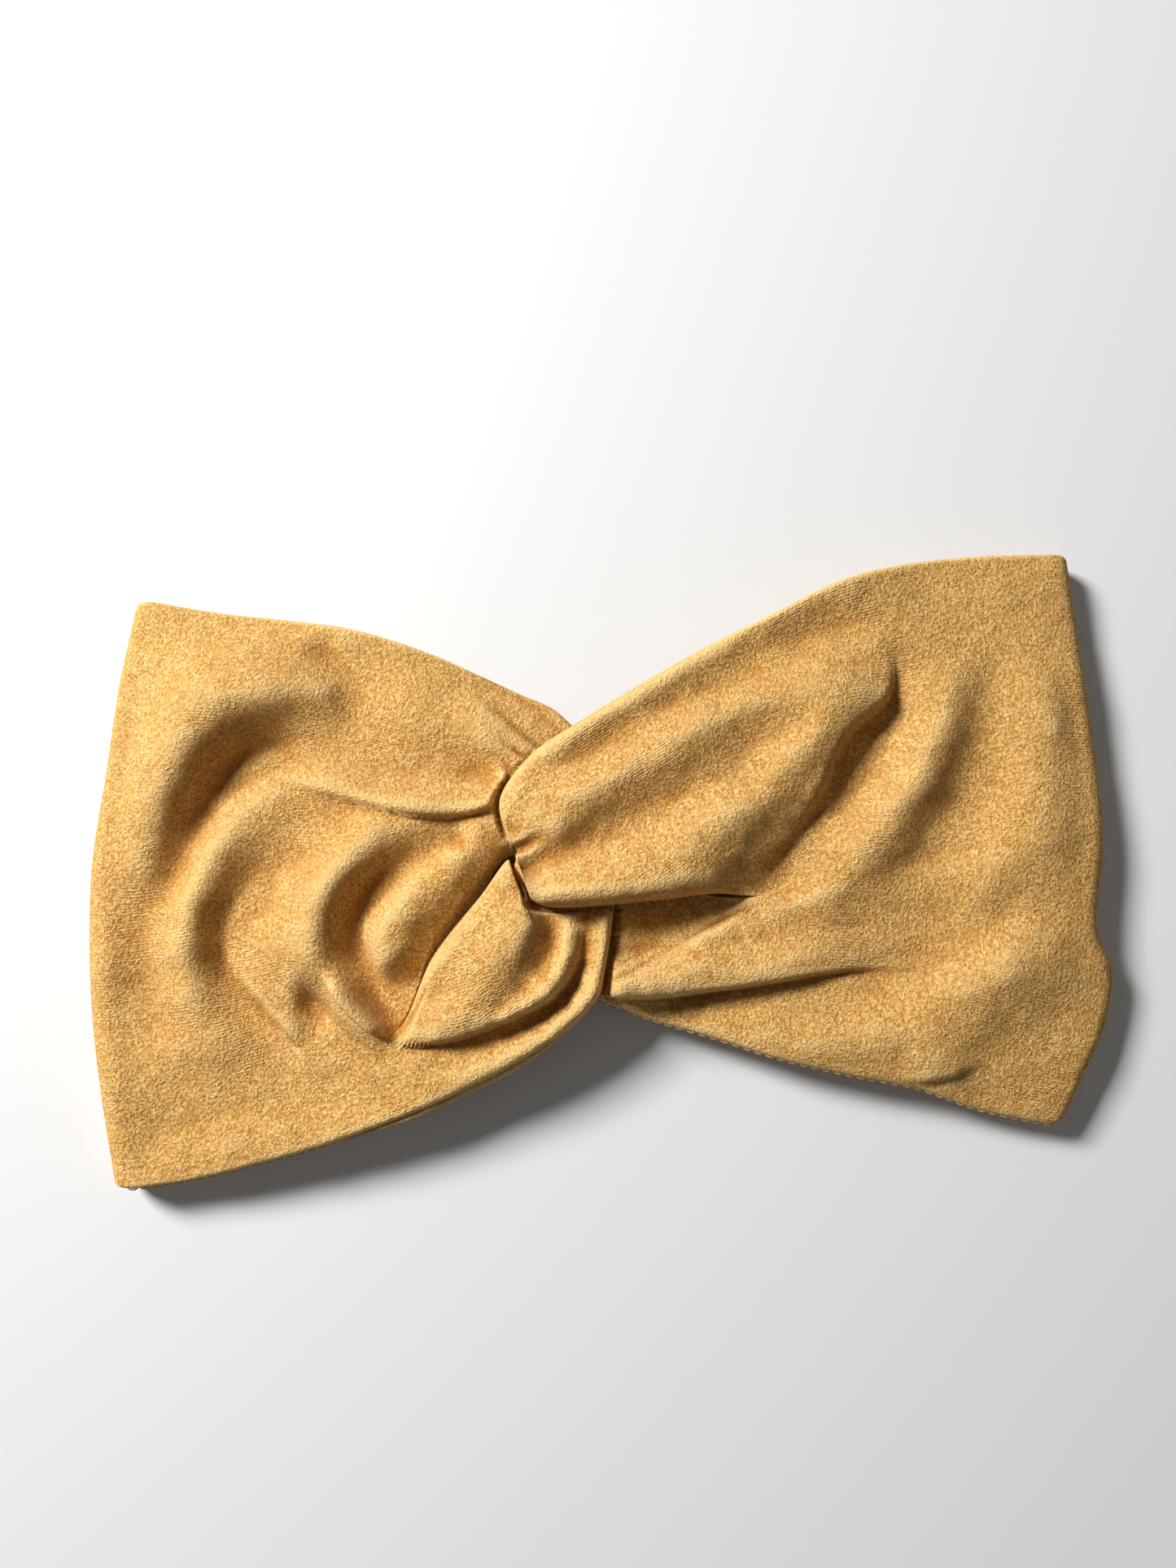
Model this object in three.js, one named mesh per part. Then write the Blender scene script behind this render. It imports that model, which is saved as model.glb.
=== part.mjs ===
// Knotted headband of soft brushed knit, lying flat. Two doubled bands are linked at the front: each is bent
// round the other, so that four legs fan out from the knot, two to each side fold. Past the side folds the
// bands run along the back, one from each side, and are sewn together at the centre back.
// +X runs from the left side fold to the right one, +Y to the edge that is worn higher, +Z up from the
// surface that the headband lies on. The origin is the middle of its underside.
import * as THREE from 'three';

// Driving dimensions, in millimetres
const bandLength = 236;
const bandWidth = 145;
const clothThickness = 1.1;
const plyGap = 0.35;
const openingHeight = 4.9;
const levelStep = 3.2;
const foldRise = 1.6;
const foldReach = 12;
const edgeReach = 5;
const lineSpacing = 8;
const seamGap = 0.6;
const seamUpperY = 30;
const seamLowerY = -22;
const seamX = -2;
const threadDiameter = 0.6;
const threadClearance = 0.3;
const zigzagReach = 2.4;
const zigzagPitch = 3.2;
const zigzagMargin = 3;

// How finely the cloth is divided
const stepsPerRib = 2;
const rowSteps = 10;
const foldSteps = 4;
const backSteps = 2;
const curveSteps = 20;
const coverSteps = 30;
const threadSides = 5;

// The doubled band: outer ply, gap and lining
const doubledThickness = 2 * clothThickness + plyGap;
const lowestLevel = doubledThickness + openingHeight + doubledThickness / 2;

// Sight lines. Places are read in pixels of a view from above, 1445 by 1927, taken from one point, so a
// pixel's place in plan depends on how high the cloth lies there.
const viewPixels = { focal: 1450, centre: [722.5, 963.5], slitMargin: 18 };
const sightTilt = THREE.MathUtils.degToRad(4.7);
const sightHeightShare = 1.186;
const sightHeight = bandLength * sightHeightShare;
const leftmostPixels = [117, 1130];
const rightmostPixels = [1361, 1195];
const upmostPixels = [1303, 688];
const downmostPixels = [149, 1453];

function sighted([u, v], z) {
  const across = (u - viewPixels.centre[0]) / viewPixels.focal;
  const along = (viewPixels.centre[1] - v) / viewPixels.focal;
  const ahead = Math.sin(sightTilt) + along * Math.cos(sightTilt);
  const down = Math.cos(sightTilt) - along * Math.sin(sightTilt);
  const reach = (sightHeight - z) / down;
  return [reach * across, reach * ahead];
}

const cornerLevelShare = -0.3;
const cornerHeight = lowestLevel + cornerLevelShare * levelStep;
const outlineHeight = (cornerHeight + doubledThickness / 2) / 2;
const [leftX] = sighted(leftmostPixels, outlineHeight);
const [rightX] = sighted(rightmostPixels, outlineHeight);
const upperY = sighted(upmostPixels, cornerHeight)[1];
const lowerY = sighted(downmostPixels, cornerHeight)[1];

function plan(pixels, z) {
  const [x, y] = sighted(pixels, z);
  return [
    (x - (leftX + rightX) / 2) * bandLength / (rightX - leftX),
    (y - (upperY + lowerY) / 2) * bandWidth / (upperY - lowerY),
  ];
}

// How the folds behave: how far the plate may slip past its held points, how much of a fold a free outer
// edge keeps down, over how many ribs that grows to all of it in the knot, and how much of the band's length
// the edge seam shows along.
const plateSlackShare = 0.001;
const edgeHoldShare = 0.35;
const knotRibs = 1.5;
const edgeSeamShare = 0.38;

// Ribs across each band, from its outer edge to its inner one, in order along the band: from the side fold
// along the upper leg to the knot, round the bend, and back along the lower leg. The first and last ribs that
// are named welded share their inner ends, where the two legs are one cloth; past them the slit opens.
// A level share counts level steps above the lowest level.
const leftBand = {
  side: -1,
  weldedRibs: 5,
  bendRib: 10,
  ribPixels: [
    [[175, 745], [117, 1110]],
    [[262, 759], [215, 1130]],
    [[350, 768], [310, 1165]],
    [[440, 781], [400, 1215]],
    [[530, 808], [482, 1268]],
    [[590, 834], [535, 1172]],
    [[640, 857], [592, 1098]],
    [[685, 878], [622, 1056]],
    [[728, 930], [650, 1052]],
    [[752, 1000], [674, 1078]],
    [[757, 1070], [692, 1098]],
    [[750, 1150], [693, 1114]],
    [[743, 1192], [656, 1111]],
    [[735, 1224], [627, 1090]],
    [[692, 1266], [626, 1057]],
    [[630, 1307], [592, 1100]],
    [[560, 1341], [535, 1172]],
    [[490, 1369], [482, 1268]],
    [[400, 1400], [400, 1215]],
    [[310, 1423], [310, 1165]],
    [[225, 1442], [215, 1130]],
    [[149, 1453], [117, 1110]],
  ],
  levelShares: [
    [-0.3, -0.3], [-0.15, 0], [0, 0.2], [0.05, 0.35], [0.05, 0.5], [0, 0.3], [0, 0.05], [0, 0],
    [0.1, 0.2], [0.5, 0.6], [1, 1], [1.1, 1.05], [1.2, 1.1], [1.3, 1.45], [1.3, 1.8], [1.1, 1.75],
    [0.9, 1.2], [0.7, 0.5], [0.4, 0.35], [0.1, 0.2], [-0.1, 0], [-0.3, -0.3],
  ],
  sideFoldPixels: [
    [175, 745], [152, 850], [137, 950], [121, 1050], [117, 1110], [119, 1230], [131, 1340],
    [149, 1453],
  ],
};

const rightBand = {
  side: 1,
  weldedRibs: 5,
  bendRib: 11,
  ribPixels: [
    [[1303, 688], [1349, 1030]],
    [[1215, 691], [1262, 1035]],
    [[1120, 700], [1165, 1045]],
    [[1030, 722], [1048, 1068]],
    [[935, 768], [930, 1100]],
    [[860, 804], [880, 1098]],
    [[785, 846], [815, 1105]],
    [[712, 890], [748, 1112]],
    [[655, 928], [698, 1115]],
    [[615, 984], [672, 1114]],
    [[623, 1026], [661, 1110]],
    [[635, 1049], [653, 1104]],
    [[631, 1074], [653, 1098]],
    [[643, 1092], [662, 1100]],
    [[672, 1184], [712, 1122]],
    [[735, 1226], [765, 1092]],
    [[800, 1250], [825, 1086]],
    [[875, 1272], [880, 1102]],
    [[960, 1298], [930, 1100]],
    [[1050, 1318], [1048, 1068]],
    [[1130, 1332], [1165, 1045]],
    [[1212, 1358], [1262, 1035]],
    [[1300, 1376], [1349, 1030]],
  ],
  levelShares: [
    [-0.3, -0.3], [-0.1, 0], [0.3, 0.2], [0.8, 0.4], [1.2, 0.7], [1.5, 1.7], [1.8, 1.9], [2, 2],
    [2, 2], [2, 2], [2.05, 2], [2.05, 1.95], [1.6, 1.2], [0.1, 0.1], [0, 0.05], [0, 0], [0, 0],
    [0.1, 0.2], [0.2, 0.7], [0.2, 0.4], [0.1, 0.2], [-0.3, 0], [-0.8, -0.3],
  ],
  sideFoldPixels: [
    [1303, 688], [1317, 780], [1335, 900], [1349, 1030], [1343, 1140], [1361, 1195], [1352, 1255],
    [1325, 1320], [1300, 1376],
  ],
};

// The folds, as a map gives hills: lines along the crests and the valley floors, with their heights over the
// smooth band as shares of the fold rise. A line of one leg stays off the other.
const leftLevelLines = [
  {
    name: 'strip along the upper edge',
    pixels: [[185, 765], [260, 775], [350, 785], [440, 802], [530, 830], [600, 862]],
    riseShares: [0.8, 1, 1.3, 1.3, 1.3, 1.2],
  },
  {
    name: 'outer ridge',
    pixels: [
      [400, 852], [345, 860], [298, 874], [262, 897], [236, 930], [214, 967], [197, 1005], [186, 1042],
      [178, 1080],
    ],
    riseShares: [2.8, 4.4, 5.2, 5.3, 5, 4.4, 3.5, 2.7, 2.1],
  },
  {
    name: 'floor inside the outer ridge',
    pixels: [
      [436, 905], [385, 906], [340, 912], [302, 932], [270, 965], [246, 1002], [226, 1040], [208, 1078],
      [195, 1108],
    ],
    riseShares: [1, 0.6, 0.2, 0, 0, 0, 0.2, 0.6, 0.9],
  },
  {
    name: 'soft hollow above it',
    pixels: [[398, 800], [424, 845], [438, 880]],
    riseShares: [1, 1.2, 1],
  },
  {
    name: 'swell of the upper leg',
    pixels: [[500, 865], [550, 890], [600, 915]],
    riseShares: [2.3, 2.5, 2.5],
  },
  {
    name: 'rim beside the side fold',
    pixels: [
      [180, 800], [160, 880], [146, 960], [136, 1040], [132, 1110], [134, 1200], [142, 1290],
      [152, 1370], [164, 1430],
    ],
    riseShares: [1.2, 1.6, 1.7, 1.6, 1.6, 1.6, 1.5, 1.3, 1],
  },
  {
    name: 'groove inside the rim',
    pixels: [[172, 1120], [168, 1160], [170, 1210], [176, 1260]],
    riseShares: [0.6, 0.5, 0.6, 0.9],
  },
  {
    name: 'second ridge',
    pixels: [
      [330, 968], [296, 992], [264, 1030], [242, 1070], [232, 1110], [230, 1150], [233, 1190],
      [246, 1228], [272, 1264], [300, 1288],
    ],
    riseShares: [1.5, 2, 2.8, 3.3, 3.5, 3.5, 3.1, 2.5, 1.9, 1.4],
  },
  {
    name: 'valley inside the second ridge',
    pixels: [
      [385, 1012], [342, 1034], [308, 1062], [282, 1096], [267, 1130], [263, 1165], [270, 1200],
      [290, 1232], [318, 1262], [346, 1288],
    ],
    riseShares: [1, 0.8, 0.6, 0.4, 0.2, 0.1, 0.1, 0.2, 0.3, 0.6],
  },
  {
    name: 'plateau',
    pixels: [[430, 1010], [402, 1036], [364, 1070], [334, 1110], [318, 1150], [326, 1188], [350, 1220]],
    riseShares: [1.7, 1.6, 1.2, 0.9, 0.8, 0.8, 0.8],
  },
  {
    name: 'crest beside the deep valley',
    pixels: [
      [548, 1022], [505, 1026], [466, 1040], [432, 1066], [408, 1098], [396, 1132], [396, 1164],
      [404, 1188], [420, 1210], [440, 1232], [460, 1254], [478, 1274],
    ],
    riseShares: [1.6, 2.4, 3.4, 4.2, 4.6, 4.6, 4.4, 4, 3.4, 3, 2.4, 1.6],
  },
  {
    name: 'ground round its end',
    pixels: [[376, 1300], [420, 1300], [460, 1302]],
    riseShares: [1.2, 1.2, 1.3],
  },
  {
    name: 'ground round its end',
    pixels: [[384, 1240], [398, 1262], [420, 1280]],
    riseShares: [1, 1, 1.1],
  },
  {
    name: 'open cloth towards the lower edge',
    pixels: [[190, 1320], [260, 1330], [330, 1340], [400, 1330], [450, 1318]],
    riseShares: [1, 1, 1.2, 1.5, 1.7],
  },
  {
    name: 'open cloth towards the lower edge',
    pixels: [[180, 1400], [260, 1400], [340, 1390], [420, 1370]],
    riseShares: [0.7, 0.8, 0.8, 0.8],
  },
  {
    name: 'deep valley',
    leg: 'upper',
    pixels: [
      [560, 1034], [520, 1050], [484, 1068], [456, 1092], [438, 1122], [434, 1152], [444, 1184],
      [460, 1214], [476, 1246],
    ],
    riseShares: [1.4, 0.9, 0.4, 0, 0, 0, 0, 0, 0],
  },
  {
    name: 'finger',
    leg: 'upper',
    pixels: [
      [618, 996], [592, 1022], [562, 1046], [530, 1074], [504, 1102], [488, 1130], [484, 1156],
      [488, 1182],
    ],
    riseShares: [3.6, 3.8, 3.7, 2.9, 2.2, 1.7, 1.3, 0.8],
  },
  {
    name: 'foot of the finger',
    leg: 'upper',
    pixels: [[626, 1056], [600, 1084], [572, 1116], [540, 1154], [514, 1188], [494, 1228]],
    riseShares: [1, 0.6, 0.3, 0, 0, 0],
  },
  {
    name: 'roll over the long crease',
    leg: 'upper',
    pixels: [[400, 950], [450, 960], [500, 968], [550, 972], [605, 968]],
    riseShares: [1.5, 1.6, 1.7, 1.8, 1.8],
  },
  {
    name: 'trough over that roll',
    leg: 'upper',
    pixels: [[480, 930], [540, 945], [600, 950]],
    riseShares: [1.5, 1.4, 1.3],
  },
  {
    name: 'crown of the lobe',
    leg: 'lower',
    pixels: [[634, 1096], [622, 1128], [598, 1152], [568, 1180], [541, 1210], [516, 1240], [496, 1264]],
    riseShares: [2.6, 3.4, 3.8, 3.9, 3.4, 2.5, 1.2],
  },
  {
    name: 'its lower side',
    leg: 'lower',
    pixels: [[656, 1122], [650, 1150], [632, 1180], [600, 1210], [560, 1240]],
    riseShares: [2.4, 2.8, 2.8, 2.4, 1.7],
  },
  {
    name: 'crease inside the lobe',
    leg: 'lower',
    pixels: [[673, 1118], [680, 1142], [676, 1168], [664, 1192], [642, 1214], [614, 1234]],
    riseShares: [1, 0.9, 0.9, 1.1, 1.4, 1.6],
  },
  {
    name: 'middle fold',
    leg: 'lower',
    pixels: [[700, 1120], [701, 1150], [697, 1180], [684, 1206], [660, 1230], [630, 1246], [596, 1258]],
    riseShares: [1.8, 2, 2.1, 2.1, 2, 1.8, 1.4],
  },
  {
    name: 'outer strip',
    leg: 'lower',
    pixels: [
      [738, 1128], [739, 1160], [730, 1192], [712, 1220], [688, 1246], [650, 1272], [590, 1304],
      [520, 1330],
    ],
    riseShares: [1.6, 1.7, 1.8, 1.7, 1.6, 1.5, 1.5, 1.5],
  },
  {
    name: 'ground between lobe and strip',
    leg: 'lower',
    pixels: [
      [721, 1126], [719, 1160], [710, 1192], [692, 1220], [664, 1246], [612, 1274], [560, 1290],
      [510, 1296],
    ],
    riseShares: [0.6, 0.4, 0.3, 0.3, 0.3, 0.4, 0.7, 1.2],
  },
];

const rightLevelLines = [
  {
    name: 'strip along the upper edge',
    pixels: [[1280, 710], [1200, 712], [1120, 722]],
    riseShares: [0.6, 0.7, 0.8],
  },
  {
    name: 'panel ridge',
    pixels: [
      [1172, 812], [1180, 838], [1165, 880], [1142, 926], [1114, 968], [1082, 1010], [1056, 1050],
      [1038, 1090], [1020, 1120],
    ],
    riseShares: [1.6, 2.6, 3.4, 3.7, 3.7, 3.5, 3, 2.4, 2],
  },
  {
    name: 'valley beyond the panel ridge',
    pixels: [[1216, 846], [1204, 900], [1184, 950], [1156, 1000], [1122, 1050], [1090, 1096], [1056, 1130]],
    riseShares: [1.1, 1, 1, 1, 1, 1, 1],
  },
  {
    name: 'rise towards the side fold',
    pixels: [[1290, 830], [1300, 880], [1298, 950], [1284, 1010], [1258, 1064], [1226, 1100]],
    riseShares: [2, 2.4, 2.8, 3.1, 3.1, 2.6],
  },
  {
    name: 'rim beside the side fold',
    pixels: [[1296, 760], [1306, 820], [1318, 900], [1330, 980], [1334, 1060]],
    riseShares: [0.8, 1.6, 1.6, 1.8, 2],
  },
  {
    name: 'soft valley that ends the long crease',
    pixels: [[1140, 1180], [1178, 1168], [1212, 1146], [1244, 1116]],
    riseShares: [0.8, 1, 1.4, 2],
  },
  {
    name: 'bulge beneath it',
    pixels: [[1150, 1225], [1200, 1200], [1250, 1170], [1300, 1145]],
    riseShares: [2.8, 3.4, 3.5, 3],
  },
  {
    name: 'falling towards the lower corner',
    pixels: [[1170, 1290], [1240, 1260], [1300, 1220], [1345, 1190]],
    riseShares: [2.4, 2.2, 2, 1.6],
  },
  {
    name: 'falling towards the lower corner',
    pixels: [[1200, 1345], [1250, 1340], [1290, 1320], [1320, 1280]],
    riseShares: [0.2, 0.4, 0.6, 0.8],
  },
  {
    name: 'rolled upper edge',
    leg: 'upper',
    pixels: [[700, 908], [760, 873], [820, 840], [900, 797], [980, 758], [1050, 730]],
    riseShares: [2.9, 2.9, 2.8, 2.5, 2.1, 1.7],
  },
  {
    name: 'shallow valley inside it',
    leg: 'upper',
    pixels: [[680, 950], [740, 912], [800, 880], [880, 838], [960, 797], [1020, 774], [1090, 762]],
    riseShares: [2, 1.8, 1.8, 1.7, 1.4, 1.1, 1],
  },
  {
    name: 'shoulder of the tip',
    leg: 'upper',
    pixels: [[638, 1060], [662, 1044], [690, 1024]],
    riseShares: [2.1, 2.5, 2.8],
  },
  {
    name: 'upper ridge',
    leg: 'upper',
    pixels: [
      [636, 1020], [664, 1006], [700, 988], [750, 961], [800, 930], [850, 904], [900, 880], [960, 850],
      [1020, 818], [1070, 795],
    ],
    riseShares: [1.8, 2.9, 3.6, 3.9, 3.9, 3.8, 3.5, 3.2, 2.6, 1.7],
  },
  {
    name: 'valley of the lobe',
    leg: 'upper',
    pixels: [
      [634, 1076], [654, 1066], [677, 1052], [704, 1038], [742, 1020], [790, 998], [840, 972],
      [890, 948], [940, 918], [980, 890],
    ],
    riseShares: [1.4, 1.2, 1, 1, 1.2, 1.3, 1.6, 1.9, 2.1, 2],
  },
  {
    name: 'lower ridge',
    leg: 'upper',
    pixels: [
      [642, 1092], [660, 1084], [696, 1074], [750, 1062], [820, 1040], [880, 1014], [920, 990],
      [960, 950], [1000, 905], [1040, 860],
    ],
    riseShares: [2.2, 2.7, 3, 3.2, 3.4, 3.8, 3.6, 3.2, 2.6, 2],
  },
  {
    name: 'brink of the drop',
    leg: 'upper',
    pixels: [[900, 1076], [930, 1040], [962, 996], [990, 955], [1015, 915], [1045, 876]],
    riseShares: [1.6, 1.6, 1.6, 1.6, 1.6, 1.5],
  },
  {
    name: 'floor beyond the drop',
    leg: 'upper',
    pixels: [
      [938, 1088], [966, 1052], [1000, 1010], [1028, 972], [1054, 932], [1080, 893], [1102, 852],
      [1112, 815],
    ],
    riseShares: [0.3, 0.3, 0.3, 0.3, 0.3, 0.4, 0.8, 1.2],
  },
  {
    name: 'hidden cloth under the knot',
    leg: 'lower',
    pixels: [[652, 1094], [660, 1112], [676, 1140], [694, 1170]],
    riseShares: [0, 0, 0, 0],
  },
  {
    name: 'ridge and valley of the small triangle',
    leg: 'lower',
    pixels: [[756, 1124], [758, 1160], [756, 1192]],
    riseShares: [1.2, 1.2, 1],
  },
  {
    name: 'ridge and valley of the small triangle',
    leg: 'lower',
    pixels: [[777, 1124], [779, 1152], [778, 1180]],
    riseShares: [0.3, 0.3, 0.3],
  },
  {
    name: 'ridge and valley of the small triangle',
    leg: 'lower',
    pixels: [[820, 1120], [870, 1112], [905, 1108]],
    riseShares: [0.7, 0.6, 0.5],
  },
  {
    name: 'panel between the two creases',
    leg: 'lower',
    pixels: [[800, 1204], [860, 1184], [920, 1152], [980, 1128]],
    riseShares: [1, 1.2, 1.4, 1.4],
  },
  {
    name: 'panel between the two creases',
    leg: 'lower',
    pixels: [[900, 1196], [960, 1184], [1020, 1170], [1080, 1160]],
    riseShares: [0.8, 0.8, 0.8, 0.8],
  },
  {
    name: 'ground below the long crease',
    leg: 'lower',
    pixels: [[800, 1240], [900, 1234], [1000, 1222], [1080, 1210]],
    riseShares: [0.3, 0.2, 0.3, 0.5],
  },
  {
    name: 'lower strip',
    leg: 'lower',
    pixels: [[820, 1252], [900, 1268], [980, 1276], [1060, 1274], [1130, 1262]],
    riseShares: [0.8, 1.4, 2, 2.6, 2.9],
  },
  {
    name: 'lower strip',
    leg: 'lower',
    pixels: [[900, 1280], [1000, 1304], [1100, 1318]],
    riseShares: [1, 1.1, 1],
  },
];

// Rolls and creases, where the height changes at once. The cloth stands on one side of the line, to the left
// of it looking along it for side 1, rounds over within the radius and falls back past it. With side 0 it
// stands, or sinks, on both sides of the line. The fades are shares of the line's length.
const leftRolls = [
  {
    name: 'brink of the plateau, round to the pit',
    pixels: [
      [300, 1090], [282, 1120], [272, 1150], [273, 1180], [288, 1206], [312, 1232], [338, 1258],
      [360, 1278], [378, 1290],
    ],
    side: 1,
    riseShare: 1.5, radiusShare: 0.28, decayShare: 1.25, fadeInShare: 0.4, fadeOutShare: 0.25,
  },
  {
    name: 'pit',
    pixels: [[398, 1194], [397, 1220], [396, 1242], [400, 1268]],
    side: 0,
    riseShare: -1.9, radiusShare: 0.50, fadeInShare: 0.3, fadeOutShare: 0.5,
  },
  {
    name: 'brink of the narrow crest beside the pit',
    pixels: [[396, 1194], [404, 1208], [418, 1226], [436, 1246], [455, 1264], [474, 1279]],
    side: 1,
    riseShare: 1.5, radiusShare: 0.20, decayShare: 0.50, fadeInShare: 0.3, fadeOutShare: 0.3,
  },
  {
    name: 'near side of the finger',
    leg: 'upper',
    pixels: [
      [540, 1056], [510, 1074], [480, 1094], [458, 1114], [447, 1136], [447, 1158], [457, 1182],
      [470, 1204], [480, 1222],
    ],
    side: 1,
    riseShare: 1.7, radiusShare: 0.33, decayShare: 1.17, fadeInShare: 0.35, fadeOutShare: 0.25,
  },
  {
    name: 'long crease of the upper leg',
    leg: 'upper',
    pixels: [
      [326, 958], [350, 966], [400, 979], [450, 992], [500, 1003], [550, 1006], [590, 1001], [614, 990],
    ],
    side: 1,
    riseShare: 1.9, radiusShare: 0.25, decayShare: 0.75, fadeInShare: 0.55, fadeOutShare: 0.05,
  },
  {
    name: 'small crease by the knot',
    leg: 'upper',
    pixels: [[548, 838], [580, 856], [612, 880], [640, 904], [670, 928]],
    side: 1,
    riseShare: 1.4, radiusShare: 0.17, decayShare: 0.50, fadeInShare: 0.7, fadeOutShare: 0.02,
  },
  {
    name: 'smaller crease beneath it',
    leg: 'upper',
    pixels: [[606, 906], [632, 924], [658, 942]],
    side: 1,
    riseShare: 0.9, radiusShare: 0.12, decayShare: 0.33, fadeInShare: 0.7, fadeOutShare: 0.02,
  },
  {
    name: 'lower side of the lobe',
    leg: 'lower',
    pixels: [
      [474, 1272], [492, 1280], [520, 1283], [560, 1278], [600, 1265], [640, 1248], [674, 1232],
      [698, 1208], [712, 1180], [718, 1150], [720, 1124],
    ],
    side: 1,
    riseShare: 1.9, radiusShare: 0.25, decayShare: 1.00, fadeInShare: 0.15, fadeOutShare: 0.45,
  },
];

const rightRolls = [
  {
    name: 'line where the small triangle goes under the panel',
    leg: 'lower',
    pixels: [[740, 1206], [770, 1194], [810, 1174], [850, 1150], [890, 1128], [926, 1106]],
    side: 0,
    riseShare: -0.8, radiusShare: 0.12, fadeInShare: 0.15, fadeOutShare: 0.1,
  },
  {
    name: 'notch at the tip of the crossing lobe',
    leg: 'upper',
    pixels: [[632, 1047], [645, 1042], [660, 1033], [678, 1022]],
    side: 0,
    riseShare: -1, radiusShare: 0.17, fadeInShare: 0.02, fadeOutShare: 0.8,
  },
  {
    name: 'drop of the crossing lobe to the panel',
    leg: 'upper',
    pixels: [
      [920, 1104], [946, 1070], [976, 1027], [1002, 990], [1022, 955], [1042, 916], [1064, 884],
      [1088, 852], [1097, 822], [1094, 792],
    ],
    side: 1,
    riseShare: 2.6, radiusShare: 0.33, decayShare: 2.00, fadeInShare: 0.12, fadeOutShare: 0.4,
  },
  {
    name: 'edge of the small triangle',
    leg: 'lower',
    pixels: [[738, 1208], [770, 1196], [810, 1176], [850, 1152], [890, 1130], [928, 1108]],
    side: -1,
    riseShare: 1.6, radiusShare: 0.18, decayShare: 0.58, fadeInShare: 0.1, fadeOutShare: 0.15,
  },
  {
    name: 'long crease of the lower leg',
    leg: 'lower',
    pixels: [
      [728, 1222], [770, 1227], [820, 1226], [880, 1219], [940, 1211], [1000, 1201], [1050, 1194],
      [1100, 1191], [1150, 1184],
    ],
    side: 1,
    riseShare: 2.6, radiusShare: 0.25, decayShare: 0.75, fadeInShare: 0.05, fadeOutShare: 0.6,
  },
  {
    name: 'front layer over the lower corner',
    leg: 'lower',
    pixels: [[1100, 1326], [1135, 1327], [1168, 1322], [1198, 1311], [1226, 1297]],
    side: 1,
    riseShare: 1.1, radiusShare: 0.17, decayShare: 0.75, fadeInShare: 0.3, fadeOutShare: 0.6,
  },
];

const smooth = (share) => {
  const held = THREE.MathUtils.clamp(share, 0, 1);
  return held * held * (3 - 2 * held);
};

// The height of a quarter circle at a distance from its foot, as a share of its radius
const rounded = (distance, radius) => {
  const left = 1 - THREE.MathUtils.clamp(distance / radius, 0, 1);
  return Math.sqrt(1 - left * left);
};

// Distance from a line in plan, and where along it the nearest place lies
function beside(line, x, y) {
  let found = { distance: Infinity };
  let length = 0;
  for (let n = 1; n < line.length; n++) {
    const dx = line[n].x - line[n - 1].x;
    const dy = line[n].y - line[n - 1].y;
    const px = x - line[n - 1].x;
    const py = y - line[n - 1].y;
    const share = THREE.MathUtils.clamp((px * dx + py * dy) / (dx * dx + dy * dy), 0, 1);
    const distance = Math.hypot(px - share * dx, py - share * dy);
    const step = Math.hypot(dx, dy);
    if (distance < found.distance) {
      found = { distance, place: length + share * step, side: Math.sign(dx * py - dy * px) };
    }
    length += step;
  }
  return { ...found, length };
}

// Linear equations, each row with its value at the end, solved by elimination
function solved(rows) {
  const size = rows.length;
  for (let n = 0; n < size; n++) {
    let best = n;
    for (let m = n + 1; m < size; m++) {
      if (Math.abs(rows[m][n]) > Math.abs(rows[best][n])) best = m;
    }
    [rows[n], rows[best]] = [rows[best], rows[n]];
    for (let m = n + 1; m < size; m++) {
      const factor = rows[m][n] / rows[n][n];
      for (let k = n; k <= size; k++) rows[m][k] -= factor * rows[n][k];
    }
  }
  const values = new Array(size).fill(0);
  for (let n = size - 1; n >= 0; n--) {
    const known = values.reduce((sum, value, k) => sum + (k > n ? rows[n][k] * value : 0), 0);
    values[n] = (rows[n][size] - known) / rows[n][n];
  }
  return values;
}

// A thin plate held at points takes the shape with the least bending, and cloth does much the same. It is a
// sum of one simple function a point, with a plane under it.
function plateThrough(points) {
  const bend = (a, b) => {
    const square = (a.x - b.x) ** 2 + (a.y - b.y) ** 2;
    return square > 0 ? square * Math.log(square / foldReach ** 2) / 2 : 0;
  };
  const plane = points.map((point) => [1, point.x, point.y]);
  const rows = points.map((point, n) => [
    ...points.map((other, m) => bend(point, other) + (n === m ? plateSlackShare * foldReach ** 2 : 0)),
    ...plane[n],
    point.z,
  ]);
  for (const axis of [0, 1, 2]) rows.push([...plane.map((terms) => terms[axis]), 0, 0, 0, 0]);
  const weights = solved(rows);
  const [level, slopeX, slopeY] = weights.slice(points.length);
  return (x, y) => points.reduce(
    (sum, point, n) => sum + weights[n] * bend(point, { x, y }),
    level + slopeX * x + slopeY * y,
  );
}

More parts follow.
